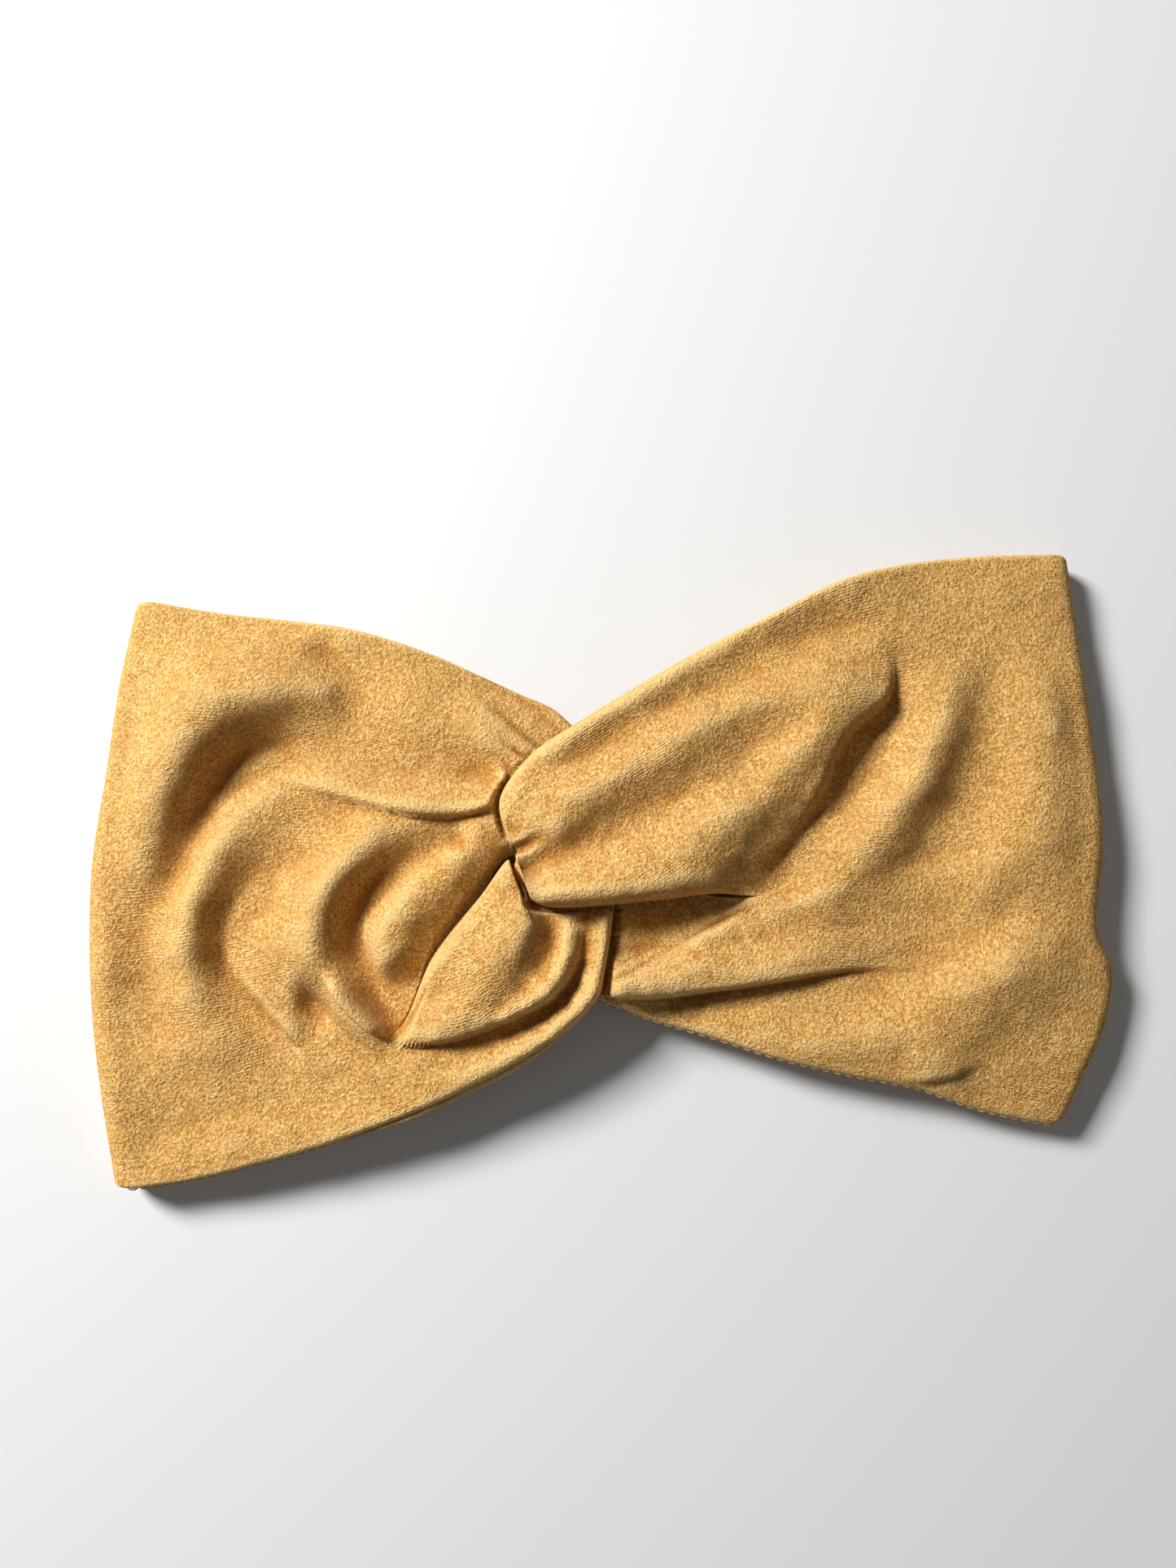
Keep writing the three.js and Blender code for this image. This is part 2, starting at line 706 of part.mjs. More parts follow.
// Heights of the folds on a stretch of band whose smooth surface is given as points
function relief(lines, rolls, surface) {
  const placed = (pixels, height) => {
    const [x, y] = plan(pixels, lowestLevel + doubledThickness / 2);
    const distance = (point) => Math.hypot(point.x - x, point.y - y);
    const near = surface.reduce((best, point) => (distance(point) < distance(best) ? point : best));
    return plan(pixels, near.z + doubledThickness / 2 + height);
  };
  const held = lines.flatMap((line) => {
    const heights = line.riseShares.map((share) => share * foldRise);
    const points = line.pixels.map((pixels, n) => (
      new THREE.Vector3(...placed(pixels, heights[n]), heights[n])
    ));
    const route = new THREE.CatmullRomCurve3(points);
    const length = points.slice(1).reduce((sum, point, n) => sum + point.distanceTo(points[n]), 0);
    return route.getPoints(Math.max(1, Math.round(length / lineSpacing)));
  });
  const plate = plateThrough(held);
  const rolled = rolls.map((roll) => {
    const rise = roll.riseShare * foldRise;
    const points = roll.pixels.map((pixels) => new THREE.Vector3(...placed(pixels, rise), 0));
    return { ...roll, rise, line: new THREE.CatmullRomCurve3(points).getPoints(curveSteps) };
  });
  return (x, y) => {
    let height = plate(x, y);
    for (const roll of rolled) {
      const { distance, place, length, side } = beside(roll.line, x, y);
      const radius = roll.radiusShare * foldReach;
      let across;
      if (roll.side === 0) {
        across = Math.max(1 - (distance / radius) ** 2, 0) ** 2;
      } else {
        const inside = side === roll.side ? distance : 0;
        across = rounded(inside, radius) * (1 - smooth((inside - radius) / (roll.decayShare * foldReach)));
      }
      const rising = smooth(place / (roll.fadeInShare * length));
      const sinking = smooth((length - place) / (roll.fadeOutShare * length));
      height += roll.rise * across * rising * sinking;
    }
    return height;
  };
}

// The smooth middle surface of one doubled band. Station runs along the band, row from its outer edge to its
// inner one. The side fold pulls the ends of the legs onto its curve, less the radius of the fold.
function smoothShape(band) {
  const ribs = band.ribPixels.length;
  const stations = (ribs - 1) * stepsPerRib;
  const weldedStations = (band.weldedRibs - 1) * stepsPerRib;
  const bendStation = band.bendRib * stepsPerRib;
  const edge = (end) => new THREE.CatmullRomCurve3(band.ribPixels.map((rib, n) => {
    const z = lowestLevel + band.levelShares[n][end] * levelStep;
    return new THREE.Vector3(...plan(rib[end], z), z);
  }));
  const outerEdge = edge(0);
  const innerEdge = edge(1);
  const foldLine = new THREE.CatmullRomCurve3(
    band.sideFoldPixels.map((pixels) => new THREE.Vector3(...plan(pixels, outlineHeight), 0)),
  );
  const foldPoints = foldLine.getPoints(curveSteps * curveSteps);
  const foldXAt = (y) => {
    let best = foldPoints[0];
    for (const point of foldPoints) {
      if (Math.abs(point.y - y) < Math.abs(best.y - y)) best = point;
    }
    return best.x;
  };
  const nearFold = (station) => 1 - smooth(Math.min(station, stations - station) / weldedStations);
  const bare = (station, row) => {
    const outer = outerEdge.getPoint(station / stations);
    const inner = innerEdge.getPoint(station / stations);
    const point = outer.clone().lerp(inner, row);
    const end = station < bendStation ? 0 : 1;
    const endPoint = outerEdge.getPoint(end).lerp(innerEdge.getPoint(end), row);
    const radius = (endPoint.z + doubledThickness / 2) / 2;
    point.x += nearFold(station) * (foldXAt(endPoint.y) - band.side * radius - endPoint.x);
    return point;
  };
  return { band, stations, weldedStations, bendStation, nearFold, bare };
}

// The smooth surface with its folds. Cloth that passes under the other band is kept down by it, and rises
// again past its edge.
function foldedShape(shape, other, levelLines, rolls) {
  const { band, stations, weldedStations, bendStation, nearFold, bare } = shape;
  const points = { upper: [], lower: [] };
  for (let station = 0; station <= stations; station++) {
    for (let row = 0; row <= rowSteps; row++) {
      points[station < bendStation ? 'upper' : 'lower'].push(bare(station, row / rowSteps));
    }
  }
  const cover = [];
  for (let station = 0; station <= other.stations; station += 1 / stepsPerRib) {
    for (let row = 0; row <= coverSteps; row++) cover.push(other.bare(station, row / coverSteps));
  }
  const of = (leg, items) => items.filter((item) => !item.leg || item.leg === leg);
  const reliefs = {};
  for (const leg of ['upper', 'lower']) {
    reliefs[leg] = relief(of(leg, levelLines), of(leg, rolls), points[leg]);
  }
  const slitEnd = band.ribPixels[band.weldedRibs - 1][1][0];
  const nearWeld = levelLines.map((line) => {
    const kept = (unused, n) => !line.leg
      || band.side * (line.pixels[n][0] - slitEnd) > -viewPixels.slitMargin;
    return { pixels: line.pixels.filter(kept), riseShares: line.riseShares.filter(kept) };
  }).filter((line) => line.pixels.length > 1);
  reliefs.joint = relief(nearWeld, of('joint', rolls), [...points.upper, ...points.lower]);

  const widthAt = (station) => bare(station, 0).distanceTo(bare(station, 1));
  const fromWeldAt = (station) => Math.min(station, stations - station) - weldedStations;
  const foldHeight = (station, row) => {
    const { x, y } = bare(station, row);
    const onLeg = Math.max(
      smooth(fromWeldAt(station) / stepsPerRib),
      smooth((1 - row) * widthAt(station) / edgeReach),
    );
    const own = reliefs[station < bendStation ? 'upper' : 'lower'](x, y);
    return Math.max(THREE.MathUtils.lerp(reliefs.joint(x, y), own, onLeg), 0);
  };

  // A fold narrower than the mesh is spread over one step each way, so that no corner of it stands alone
  const spread = (station, row) => {
    let sum = 0;
    for (const along of [-1, 0, 1]) {
      for (const across of [-1, 0, 1]) {
        const weight = 1 / (4 * 2 ** (Math.abs(along) + Math.abs(across)));
        sum += weight * foldHeight(
          THREE.MathUtils.clamp(station + along / 2, 0, stations),
          THREE.MathUtils.clamp(row + across / rowSteps / 2, 0, 1),
        );
      }
    }
    return sum;
  };

  const lifts = new Map();
  const lift = (station, row) => {
    const key = `${station},${row}`;
    if (lifts.has(key)) return lifts.get(key);
    const point = bare(station, row);
    const width = widthAt(station);
    const fromWeld = fromWeldAt(station);
    let height = spread(station, row);
    const inKnot = smooth(fromWeld / stepsPerRib / knotRibs);
    const holdOuter = THREE.MathUtils.lerp(edgeHoldShare, 1, inKnot);
    const holdInner = smooth(2 * fromWeld / stepsPerRib);
    height *= 1 - holdOuter * (1 - rounded(row * width, edgeReach));
    height *= 1 - holdInner * (1 - rounded((1 - row) * width, edgeReach));
    for (const above of cover) {
      const gap = above.z - point.z;
      if (gap < clothThickness) continue;
      const past = Math.max(Math.hypot(above.x - point.x, above.y - point.y) - levelStep / 2, 0);
      height = Math.min(height, Math.max(gap - doubledThickness - plyGap, 0) + past);
    }
    lifts.set(key, height);
    return height;
  };
  const surface = (station, row) => {
    const point = bare(station, row);
    const end = station < bendStation ? 0 : stations;
    point.x -= nearFold(station) * band.side * lift(end, row) / 2;
    point.z += lift(station, row);
    return point;
  };
  return { band, stations, weldedStations, surface };
}

// One ply of a band as a closed solid. Above and below are where its faces lie on the middle surface.
function plyGeometry(shape, above, below) {
  const { band, stations, weldedStations, surface } = shape;
  const tops = [];
  const bottoms = [];
  const quads = [];
  const ids = new Map();
  const add = (key, top, bottom) => {
    ids.set(key, tops.length);
    tops.push(top);
    bottoms.push(bottom);
  };
  const frontKey = (station, row) => {
    const shared = row === rowSteps && station > stations - weldedStations - 1;
    return shared ? `${stations - station},${row}` : `${station},${row}`;
  };
  for (let station = 0; station <= stations; station++) {
    for (let row = 0; row <= rowSteps; row++) {
      const key = frontKey(station, row);
      if (ids.has(key)) continue;
      const { x, y, z } = surface(station, row / rowSteps);
      add(key, new THREE.Vector3(x, y, z + above), new THREE.Vector3(x, y, z + below));
    }
  }
  for (let station = 0; station < stations; station++) {
    for (let row = 0; row < rowSteps; row++) {
      quads.push([
        frontKey(station, row), frontKey(station, row + 1),
        frontKey(station + 1, row + 1), frontKey(station + 1, row),
      ]);
    }
  }

  // Round the side fold and along the back to the centre seam, the outer face on the floor
  const columns = 2 * rowSteps;
  const columnKey = (column, step) => {
    if (step > 0) return `back ${column},${step}`;
    return column <= rowSteps ? frontKey(0, column) : frontKey(stations, columns - column);
  };
  for (let column = 0; column <= columns; column++) {
    const row = column <= rowSteps ? column / rowSteps : (columns - column) / rowSteps;
    const start = surface(column <= rowSteps ? 0 : stations, row);
    const radius = (start.z + doubledThickness / 2) / 2;
    const depth = [doubledThickness / 2 - above, doubledThickness / 2 - below];
    for (let step = 1; step <= foldSteps; step++) {
      const angle = Math.PI * step / foldSteps;
      const [top, bottom] = depth.map((inset) => new THREE.Vector3(
        start.x + band.side * (radius - inset) * Math.sin(angle),
        start.y,
        radius + (radius - inset) * Math.cos(angle),
      ));
      add(columnKey(column, step), top, bottom);
    }
    const seamY = THREE.MathUtils.lerp(seamUpperY, seamLowerY, column / columns);
    const endX = seamX + band.side * seamGap / 2;
    for (let step = 1; step <= backSteps; step++) {
      const share = step / backSteps;
      const x = THREE.MathUtils.lerp(start.x, endX, share);
      const y = THREE.MathUtils.lerp(start.y, seamY, share);
      const [top, bottom] = depth.map((inset) => new THREE.Vector3(x, y, inset));
      add(columnKey(column, foldSteps + step), top, bottom);
    }
  }
  for (let step = 0; step < foldSteps + backSteps; step++) {
    for (let column = 0; column < columns; column++) {
      quads.push([
        columnKey(column, step), columnKey(column, step + 1),
        columnKey(column + 1, step + 1), columnKey(column + 1, step),
      ]);
    }
  }
  return closedGeometry(tops, bottoms, quads.map((quad) => quad.map((key) => ids.get(key))), band.side > 0);
}

// Faces above and below, and a wall along every edge that only one quad has
function closedGeometry(tops, bottoms, quads, turned) {
  const count = tops.length;
  const sides = new Map();
  const indices = [];
  const face = (a, b, c) => (turned ? indices.push(a, c, b) : indices.push(a, b, c));
  for (const quad of quads) {
    const [a, b, c, d] = quad;
    face(a, b, c);
    face(a, c, d);
    face(count + a, count + c, count + b);
    face(count + a, count + d, count + c);
    quad.forEach((from, n) => {
      const to = quad[(n + 1) % quad.length];
      if (sides.has(`${to},${from}`)) sides.delete(`${to},${from}`);
      else sides.set(`${from},${to}`, [from, to]);
    });
  }
  for (const [from, to] of sides.values()) {
    face(from, count + from, count + to);
    face(from, count + to, to);
  }
  const geometry = new THREE.BufferGeometry();
  const corners = [...tops, ...bottoms].flatMap((point) => point.toArray());
  geometry.setAttribute('position', new THREE.Float32BufferAttribute(corners, 3));
  geometry.setIndex(indices);
  return geometry;
}

// A thread as a tube of flat facets along points
function threadGeometry(points) {
  const section = new THREE.Shape(
    Array.from({ length: threadSides }, (unused, n) => {
      const angle = 2 * Math.PI * n / threadSides;
      return new THREE.Vector2(Math.cos(angle), Math.sin(angle)).multiplyScalar(threadDiameter / 2);
    }),
  );
  const route = new THREE.CatmullRomCurve3(points);
  const options = { steps: points.length - 1, extrudePath: route, curveSegments: 1 };
  return new THREE.ExtrudeGeometry(section, options);
}

// The edge seam runs along the lower edge of a band, outside the meeting edges of its two plies
function edgeThreadPoints(shape) {
  const { stations, surface } = shape;
  const points = [];
  for (let station = stations - 1; station > stations * (1 - edgeSeamShare); station--) {
    const edge = surface(station, 0);
    const inward = surface(station, 1).sub(edge).setZ(0).normalize();
    points.push(edge.addScaledVector(inward, -(threadDiameter / 2 + threadClearance)));
  }
  return points;
}

// The centre back seam: a zigzag over the inner side of both ends, just above the lining
function backThreadPoints() {
  const points = [];
  const z = doubledThickness + threadClearance + threadDiameter / 2;
  const turns = Math.floor((seamUpperY - seamLowerY - 2 * zigzagMargin) / zigzagPitch);
  for (let turn = 0; turn <= turns; turn++) {
    const y = seamUpperY - zigzagMargin - turn * zigzagPitch;
    points.push(new THREE.Vector3(seamX + (turn % 2 ? zigzagReach : -zigzagReach), y, z));
  }
  return points;
}

const outerCloth = new THREE.MeshStandardMaterial({ color: 0xd9ac6c, roughness: 0.95, metalness: 0 });
const liningCloth = new THREE.MeshStandardMaterial({ color: 0xcf9f5f, roughness: 0.95, metalness: 0 });
const thread = new THREE.MeshStandardMaterial({ color: 0xc79555, roughness: 0.8, metalness: 0 });

const headband = new THREE.Group();
function place(name, geometry, material) {
  const mesh = new THREE.Mesh(geometry, material);
  mesh.name = name;
  headband.add(mesh);
}

const leftSmooth = smoothShape(leftBand);
const rightSmooth = smoothShape(rightBand);
const leftShape = foldedShape(leftSmooth, rightSmooth, leftLevelLines, leftRolls);
const rightShape = foldedShape(rightSmooth, leftSmooth, rightLevelLines, rightRolls);
const half = doubledThickness / 2;
for (const [name, shape] of [['left_band', leftShape], ['right_band', rightShape]]) {
  place(`${name}_outer_ply`, plyGeometry(shape, half, half - clothThickness), outerCloth);
  place(`${name}_lining`, plyGeometry(shape, clothThickness - half, -half), liningCloth);
  place(`${name}_edge_seam_thread`, threadGeometry(edgeThreadPoints(shape)), thread);
}
place('back_seam_thread', threadGeometry(backThreadPoints()), thread);

export default headband;
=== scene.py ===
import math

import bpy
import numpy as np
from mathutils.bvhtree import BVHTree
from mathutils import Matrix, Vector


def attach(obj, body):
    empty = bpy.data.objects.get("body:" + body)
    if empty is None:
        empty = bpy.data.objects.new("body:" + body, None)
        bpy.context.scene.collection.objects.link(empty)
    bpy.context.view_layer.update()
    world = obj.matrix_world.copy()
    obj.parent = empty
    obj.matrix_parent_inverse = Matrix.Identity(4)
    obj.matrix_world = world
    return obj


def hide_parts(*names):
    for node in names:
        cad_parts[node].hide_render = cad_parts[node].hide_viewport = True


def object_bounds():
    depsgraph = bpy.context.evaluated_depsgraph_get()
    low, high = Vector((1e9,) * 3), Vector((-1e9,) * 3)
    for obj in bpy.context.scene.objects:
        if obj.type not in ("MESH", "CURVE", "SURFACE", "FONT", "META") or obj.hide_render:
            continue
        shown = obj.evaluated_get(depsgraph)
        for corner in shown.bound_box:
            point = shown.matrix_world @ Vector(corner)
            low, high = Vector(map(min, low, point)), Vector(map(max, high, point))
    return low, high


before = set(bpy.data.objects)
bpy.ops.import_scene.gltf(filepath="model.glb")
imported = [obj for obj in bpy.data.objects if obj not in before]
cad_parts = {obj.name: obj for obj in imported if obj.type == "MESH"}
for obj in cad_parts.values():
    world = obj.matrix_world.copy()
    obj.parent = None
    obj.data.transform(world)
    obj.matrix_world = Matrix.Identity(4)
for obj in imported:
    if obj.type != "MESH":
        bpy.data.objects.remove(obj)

# %% [markdown]
# # A knotted headband of soft brushed knit
#
# The real headband is two tubes of knit, pressed flat so that each is two plies thick, and linked at the
# front: each band is bent round the other, so that four legs fan out from the knot. Past the side folds
# the bands run along the back and are sewn together in the middle. This notebook builds each ply as one
# fine sheet that follows the band from the back seam to the knot and home again.

MM = 0.001
cad_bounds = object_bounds()
low, high = (np.array(corner) / MM for corner in cad_bounds)
print("CAD box in mm", np.round(low, 1), np.round(high, 1))

# %% [markdown]
# ## Sight lines
#
# A wide lens close to its subject spreads what is near and gathers what is far. Places on the cloth were
# read as pixels from one point above the headband, so the same lens that will look at the model also
# turns a pixel and a height into a place. Doing both with one set of numbers keeps every fold where it
# was seen.

# %% Sight lines
FOCAL_PIXELS = 1450
FRAME_PIXELS = (1445, 1927)
SIGHT_TILT = math.radians(4.7)
BAND_LENGTH, BAND_WIDTH = 236.0, 145.0
SIGHT_HEIGHT = BAND_LENGTH * 1.186


def sighted(u, v, z):
    """The place under pixel u, v at height z, from the foot of the camera."""
    across = (u - FRAME_PIXELS[0] / 2) / FOCAL_PIXELS
    along = (FRAME_PIXELS[1] / 2 - v) / FOCAL_PIXELS
    ahead = math.sin(SIGHT_TILT) + along * math.cos(SIGHT_TILT)
    down = math.cos(SIGHT_TILT) - along * math.sin(SIGHT_TILT)
    reach = (SIGHT_HEIGHT - z) / down
    return reach * across, reach * ahead


CLOTH, PLY_GAP, OPENING, LEVEL_STEP = 1.1, 0.35, 4.9, 3.2
DOUBLED = 2 * CLOTH + PLY_GAP
HALF = DOUBLED / 2
LOWEST = DOUBLED + OPENING + HALF
CORNER_HEIGHT = LOWEST - 0.3 * LEVEL_STEP
OUTLINE_HEIGHT = (CORNER_HEIGHT + HALF) / 2
LEFT_X, RIGHT_X = sighted(117, 1130, OUTLINE_HEIGHT)[0], sighted(1361, 1195, OUTLINE_HEIGHT)[0]
UPPER_Y, LOWER_Y = sighted(1303, 688, CORNER_HEIGHT)[1], sighted(149, 1453, CORNER_HEIGHT)[1]


def plan(u, v, z):
    """The place under pixel u, v at height z, from the middle of the headband."""
    x, y = sighted(u, v, z)
    return (
        (x - (LEFT_X + RIGHT_X) / 2) * BAND_LENGTH / (RIGHT_X - LEFT_X),
        (y - (UPPER_Y + LOWER_Y) / 2) * BAND_WIDTH / (UPPER_Y - LOWER_Y),
    )


print("the knot's middle, pixel (690, 1110), lies at", np.round(plan(690, 1110, LOWEST), 1), "mm")

# %% [markdown]
# ## The camera
#
# It stands where the sight lines start, with the lens that they were drawn through.

# %% Camera
lens = bpy.data.cameras.new("view_from_above")
lens.sensor_fit = "VERTICAL"
lens.sensor_height = 24.0
lens.lens = lens.sensor_height * FOCAL_PIXELS / FRAME_PIXELS[1]
lens.clip_start = 0.01
camera = bpy.data.objects.new("view_from_above", lens)
bpy.context.collection.objects.link(camera)
camera.location = (
    -(LEFT_X + RIGHT_X) / 2 * BAND_LENGTH / (RIGHT_X - LEFT_X) * MM,
    -(UPPER_Y + LOWER_Y) / 2 * BAND_WIDTH / (UPPER_Y - LOWER_Y) * MM,
    SIGHT_HEIGHT * MM,
)
camera.rotation_euler = (SIGHT_TILT, 0.0, 0.0)
bpy.context.scene.camera = camera
print("camera at", [round(c, 4) for c in camera.location], "lens", round(lens.lens, 2), "mm")

# %% [markdown]
# ## The two bands as ribs
#
# Each band is described by ribs that cross it from its outer edge to its inner one, in the order in which
# the cloth runs: from the side fold along the upper leg, round the bend in the knot, and back along the
# lower leg. The first and last ribs share their inner ends, where both legs are one cloth. Two numbers a
# rib say how high its ends lie, counted in thicknesses of a doubled band. This is all that the link
# needs: at the knot the upper leg of the right band lies two levels up, and its lower leg at the bottom.

# %% Ribs
LEFT = {
    "name": "left_band",
    "side": -1,
    "welded": 5,
    "bend": 10,
    "ribs": [
        (175, 745, -0.3, 117, 1110, -0.3),
        (262, 759, -0.15, 215, 1130, 0),
        (350, 768, 0, 310, 1165, 0.2),
        (440, 781, 0.05, 400, 1215, 0.35),
        (530, 808, 0.05, 482, 1268, 0.5),
        (590, 834, 0, 535, 1172, 0.3),
        (640, 857, 0, 592, 1098, 0.05),
        (685, 878, 0, 622, 1056, 0),
        (728, 930, 0.1, 650, 1052, 0.2),
        (752, 1000, 0.5, 674, 1078, 0.6),
        (757, 1070, 1, 692, 1098, 1),
        (750, 1150, 1.1, 693, 1114, 1.05),
        (743, 1192, 1.2, 656, 1111, 1.1),
        (735, 1224, 1.3, 627, 1090, 1.45),
        (692, 1266, 1.3, 626, 1057, 1.8),
        (630, 1307, 1.1, 592, 1100, 1.75),
        (560, 1341, 0.9, 535, 1172, 1.2),
        (490, 1369, 0.7, 482, 1268, 0.5),
        (400, 1400, 0.4, 400, 1215, 0.35),
        (310, 1423, 0.1, 310, 1165, 0.2),
        (225, 1442, -0.1, 215, 1130, 0),
        (149, 1453, -0.3, 117, 1110, -0.3),
    ],
    "side_fold": [
        (175, 745), (152, 850), (137, 950), (121, 1050), (117, 1110), (119, 1230), (131, 1340), (149, 1453),
    ],
}
RIGHT = {
    "name": "right_band",
    "side": 1,
    "welded": 5,
    "bend": 11,
    "ribs": [
        (1303, 688, -0.3, 1349, 1030, -0.3),
        (1215, 691, -0.1, 1262, 1035, 0),
        (1120, 700, 0.3, 1165, 1045, 0.2),
        (1030, 722, 0.8, 1048, 1068, 0.4),
        (935, 768, 1.2, 930, 1100, 0.7),
        (860, 804, 1.5, 880, 1098, 1.7),
        (785, 846, 1.8, 815, 1105, 1.9),
        (712, 890, 2, 748, 1112, 2),
        (655, 928, 2, 698, 1115, 2),
        (615, 984, 2, 672, 1114, 2),
        (623, 1026, 2.05, 661, 1110, 2),
        (635, 1049, 2.05, 653, 1104, 1.95),
        (631, 1074, 1.6, 653, 1098, 1.2),
        (643, 1092, 0.1, 662, 1100, 0.1),
        (672, 1184, 0, 712, 1122, 0.05),
        (735, 1226, 0, 765, 1092, 0),
        (800, 1250, 0, 825, 1086, 0),
        (875, 1272, 0.1, 880, 1102, 0.2),
        (960, 1298, 0.2, 930, 1100, 0.7),
        (1050, 1318, 0.2, 1048, 1068, 0.4),
        (1130, 1332, 0.1, 1165, 1045, 0.2),
        (1212, 1358, -0.3, 1262, 1035, 0),
        (1300, 1376, -0.8, 1349, 1030, -0.3),
    ],
    "side_fold": [
        (1303, 688), (1317, 780), (1335, 900), (1349, 1030), (1343, 1140), (1361, 1195), (1352, 1255),
        (1325, 1320), (1300, 1376),
    ],
}

for facts in (LEFT, RIGHT):
    print(facts["name"], len(facts["ribs"]), "ribs, bend at rib", facts["bend"])

# %% [markdown]
# ## The folds as level lines and rolled creases
#
# Soft folds are given the way a map gives hills: lines along the crests and valley floors, each point
# with its height over the smooth band, counted in steps of FOLD_RISE mm. Between the lines the cloth is
# left to find its own way. Where the cloth rolls over a neighbour, the height changes at once, so those
# places are creases with a rolled side. A crease with side 0 is a narrow ridge or, with a height below
# zero, a groove.

# %% Level lines
FOLD_RISE = 1.6
LEFT["levels"] = {
    "both": [
        # strip along the upper edge
        [(185, 765, 0.8), (260, 775, 1.0), (350, 785, 1.3), (440, 802, 1.3), (530, 830, 1.2),
         (600, 862, 0.9),
         (650, 893, 0.6)],
        # outer ridge
        [(400, 852, 2.8), (345, 860, 4.4), (298, 874, 5.2), (262, 897, 5.3), (236, 930, 5.0),
         (214, 967, 4.4),
         (197, 1005, 3.5), (186, 1042, 2.7), (178, 1080, 2.1)],
        # floor inside the outer ridge
        [(436, 905, 1.0), (385, 906, 0.6), (340, 912, 0.2), (302, 932, 0), (270, 965, 0), (246, 1002, 0),
         (226, 1040, 0.2), (208, 1078, 0.6), (195, 1108, 0.9)],
        # soft hollow above it
        [(398, 800, 1.0), (424, 845, 1.2), (438, 880, 1.0)],
        # swell of the upper leg
        [(500, 865, 2.3), (550, 890, 2.5), (600, 915, 2.5)],
        # rim beside the side fold
        [(180, 800, 1.2), (160, 880, 1.6), (146, 960, 1.7), (136, 1040, 1.6), (132, 1110, 1.6),
         (134, 1200, 1.6), (142, 1290, 1.5), (152, 1370, 1.3), (164, 1430, 1.0)],
        # groove inside the rim
        [(172, 1120, 0.6), (168, 1160, 0.5), (170, 1210, 0.6), (176, 1260, 0.9)],
        # second ridge
        [(330, 968, 1.5), (296, 992, 2.0), (264, 1030, 2.8), (242, 1070, 3.3), (232, 1110, 3.5),
         (230, 1150, 3.5), (233, 1190, 3.1), (246, 1228, 2.5), (272, 1264, 1.9), (300, 1288, 1.4)],
        # valley inside the second ridge
        [(385, 1012, 1.0), (342, 1034, 0.8), (308, 1062, 0.6), (282, 1096, 0.4), (267, 1130, 0.2),
         (263, 1165, 0.1), (270, 1200, 0.1), (290, 1232, 0.2), (318, 1262, 0.3), (346, 1288, 0.6)],
        # plateau
        [(430, 1010, 1.7), (402, 1036, 1.6), (364, 1070, 1.2), (334, 1110, 0.9), (318, 1150, 0.8),
         (326, 1188, 0.8), (350, 1220, 0.8)],
        # crest beside the deep valley
        [(548, 1022, 1.6), (505, 1026, 2.4), (466, 1040, 3.4), (432, 1066, 4.2), (408, 1098, 4.6),
         (396, 1132, 4.6), (396, 1164, 4.4), (404, 1188, 4.0), (420, 1210, 3.4), (440, 1232, 3.0),
         (460, 1254, 2.4), (478, 1274, 1.6)],
        # ground round its end
        [(376, 1300, 1.2), (420, 1300, 1.2), (460, 1302, 1.3)],
        [(384, 1240, 1.0), (398, 1262, 1.0), (420, 1280, 1.1)],
        # open cloth towards the lower edge
        [(190, 1320, 1.0), (260, 1330, 1.0), (330, 1336, 0.9), (390, 1322, 0.8), (440, 1312, 0.9)],
        [(180, 1400, 0.8), (260, 1402, 1.0), (340, 1396, 1.3), (420, 1380, 1.6), (500, 1352, 1.7)],
    ],
    "upper": [
        # deep valley
        [(560, 1034, 1.4), (520, 1050, 0.9), (484, 1068, 0.4), (456, 1092, 0), (438, 1122, 0),
         (434, 1152, 0),
         (444, 1184, 0), (460, 1214, 0), (476, 1246, 0)],
        # finger
        [(618, 996, 3.4), (592, 1022, 3.4), (562, 1046, 3.2), (530, 1074, 2.7), (502, 1102, 2.3),
         (480, 1130, 2.0), (471, 1156, 1.7), (474, 1182, 1.2)],
        # foot of the finger
        [(626, 1056, 1.2), (600, 1084, 0.9), (572, 1116, 0.7), (540, 1154, 0.4), (514, 1188, 0.2),
         (494, 1228, 0)],
        # roll over the long crease
        [(400, 950, 1.5), (450, 960, 1.6), (500, 968, 1.7), (550, 972, 1.8), (605, 968, 1.8),
         (632, 960, 1.7)],
        # trough over that roll
        [(480, 930, 1.5), (540, 945, 1.4), (600, 950, 1.3)],
    ],
    "lower": [
        # crown of the lobe
        [(630, 1094, 2.3), (606, 1126, 2.7), (582, 1150, 2.9), (554, 1180, 2.7),
         (530, 1210, 2.2), (508, 1240, 1.5), (494, 1264, 0.9)],
        # its lower side
        [(658, 1118, 2.6), (654, 1144, 3.5), (640, 1176, 3.8), (614, 1206, 3.6), (580, 1234, 2.9),
         (540, 1256, 2.0)],
        # crease inside the lobe
        [(673, 1118, 1.0), (680, 1142, 0.9), (676, 1168, 0.9), (664, 1192, 1.1), (642, 1214, 1.4),
         (614, 1234, 1.6)],
        # middle fold
        [(700, 1120, 1.8), (701, 1150, 2.0), (697, 1180, 2.1), (684, 1206, 2.1), (660, 1230, 2.0),
         (630, 1246, 1.8),
         (596, 1258, 1.4)],
        # outer strip
        [(738, 1128, 1.6), (739, 1160, 1.7), (730, 1192, 1.8), (712, 1220, 1.7), (688, 1246, 1.6),
         (650, 1272, 1.5),
         (590, 1304, 1.5), (520, 1330, 1.5)],
        # ground between lobe and strip
        [(721, 1126, 0.6), (719, 1160, 0.4), (710, 1192, 0.3), (692, 1220, 0.3), (664, 1246, 0.3),
         (612, 1274, 0.4),
         (560, 1290, 0.7), (510, 1296, 1.2)],
    ],
}
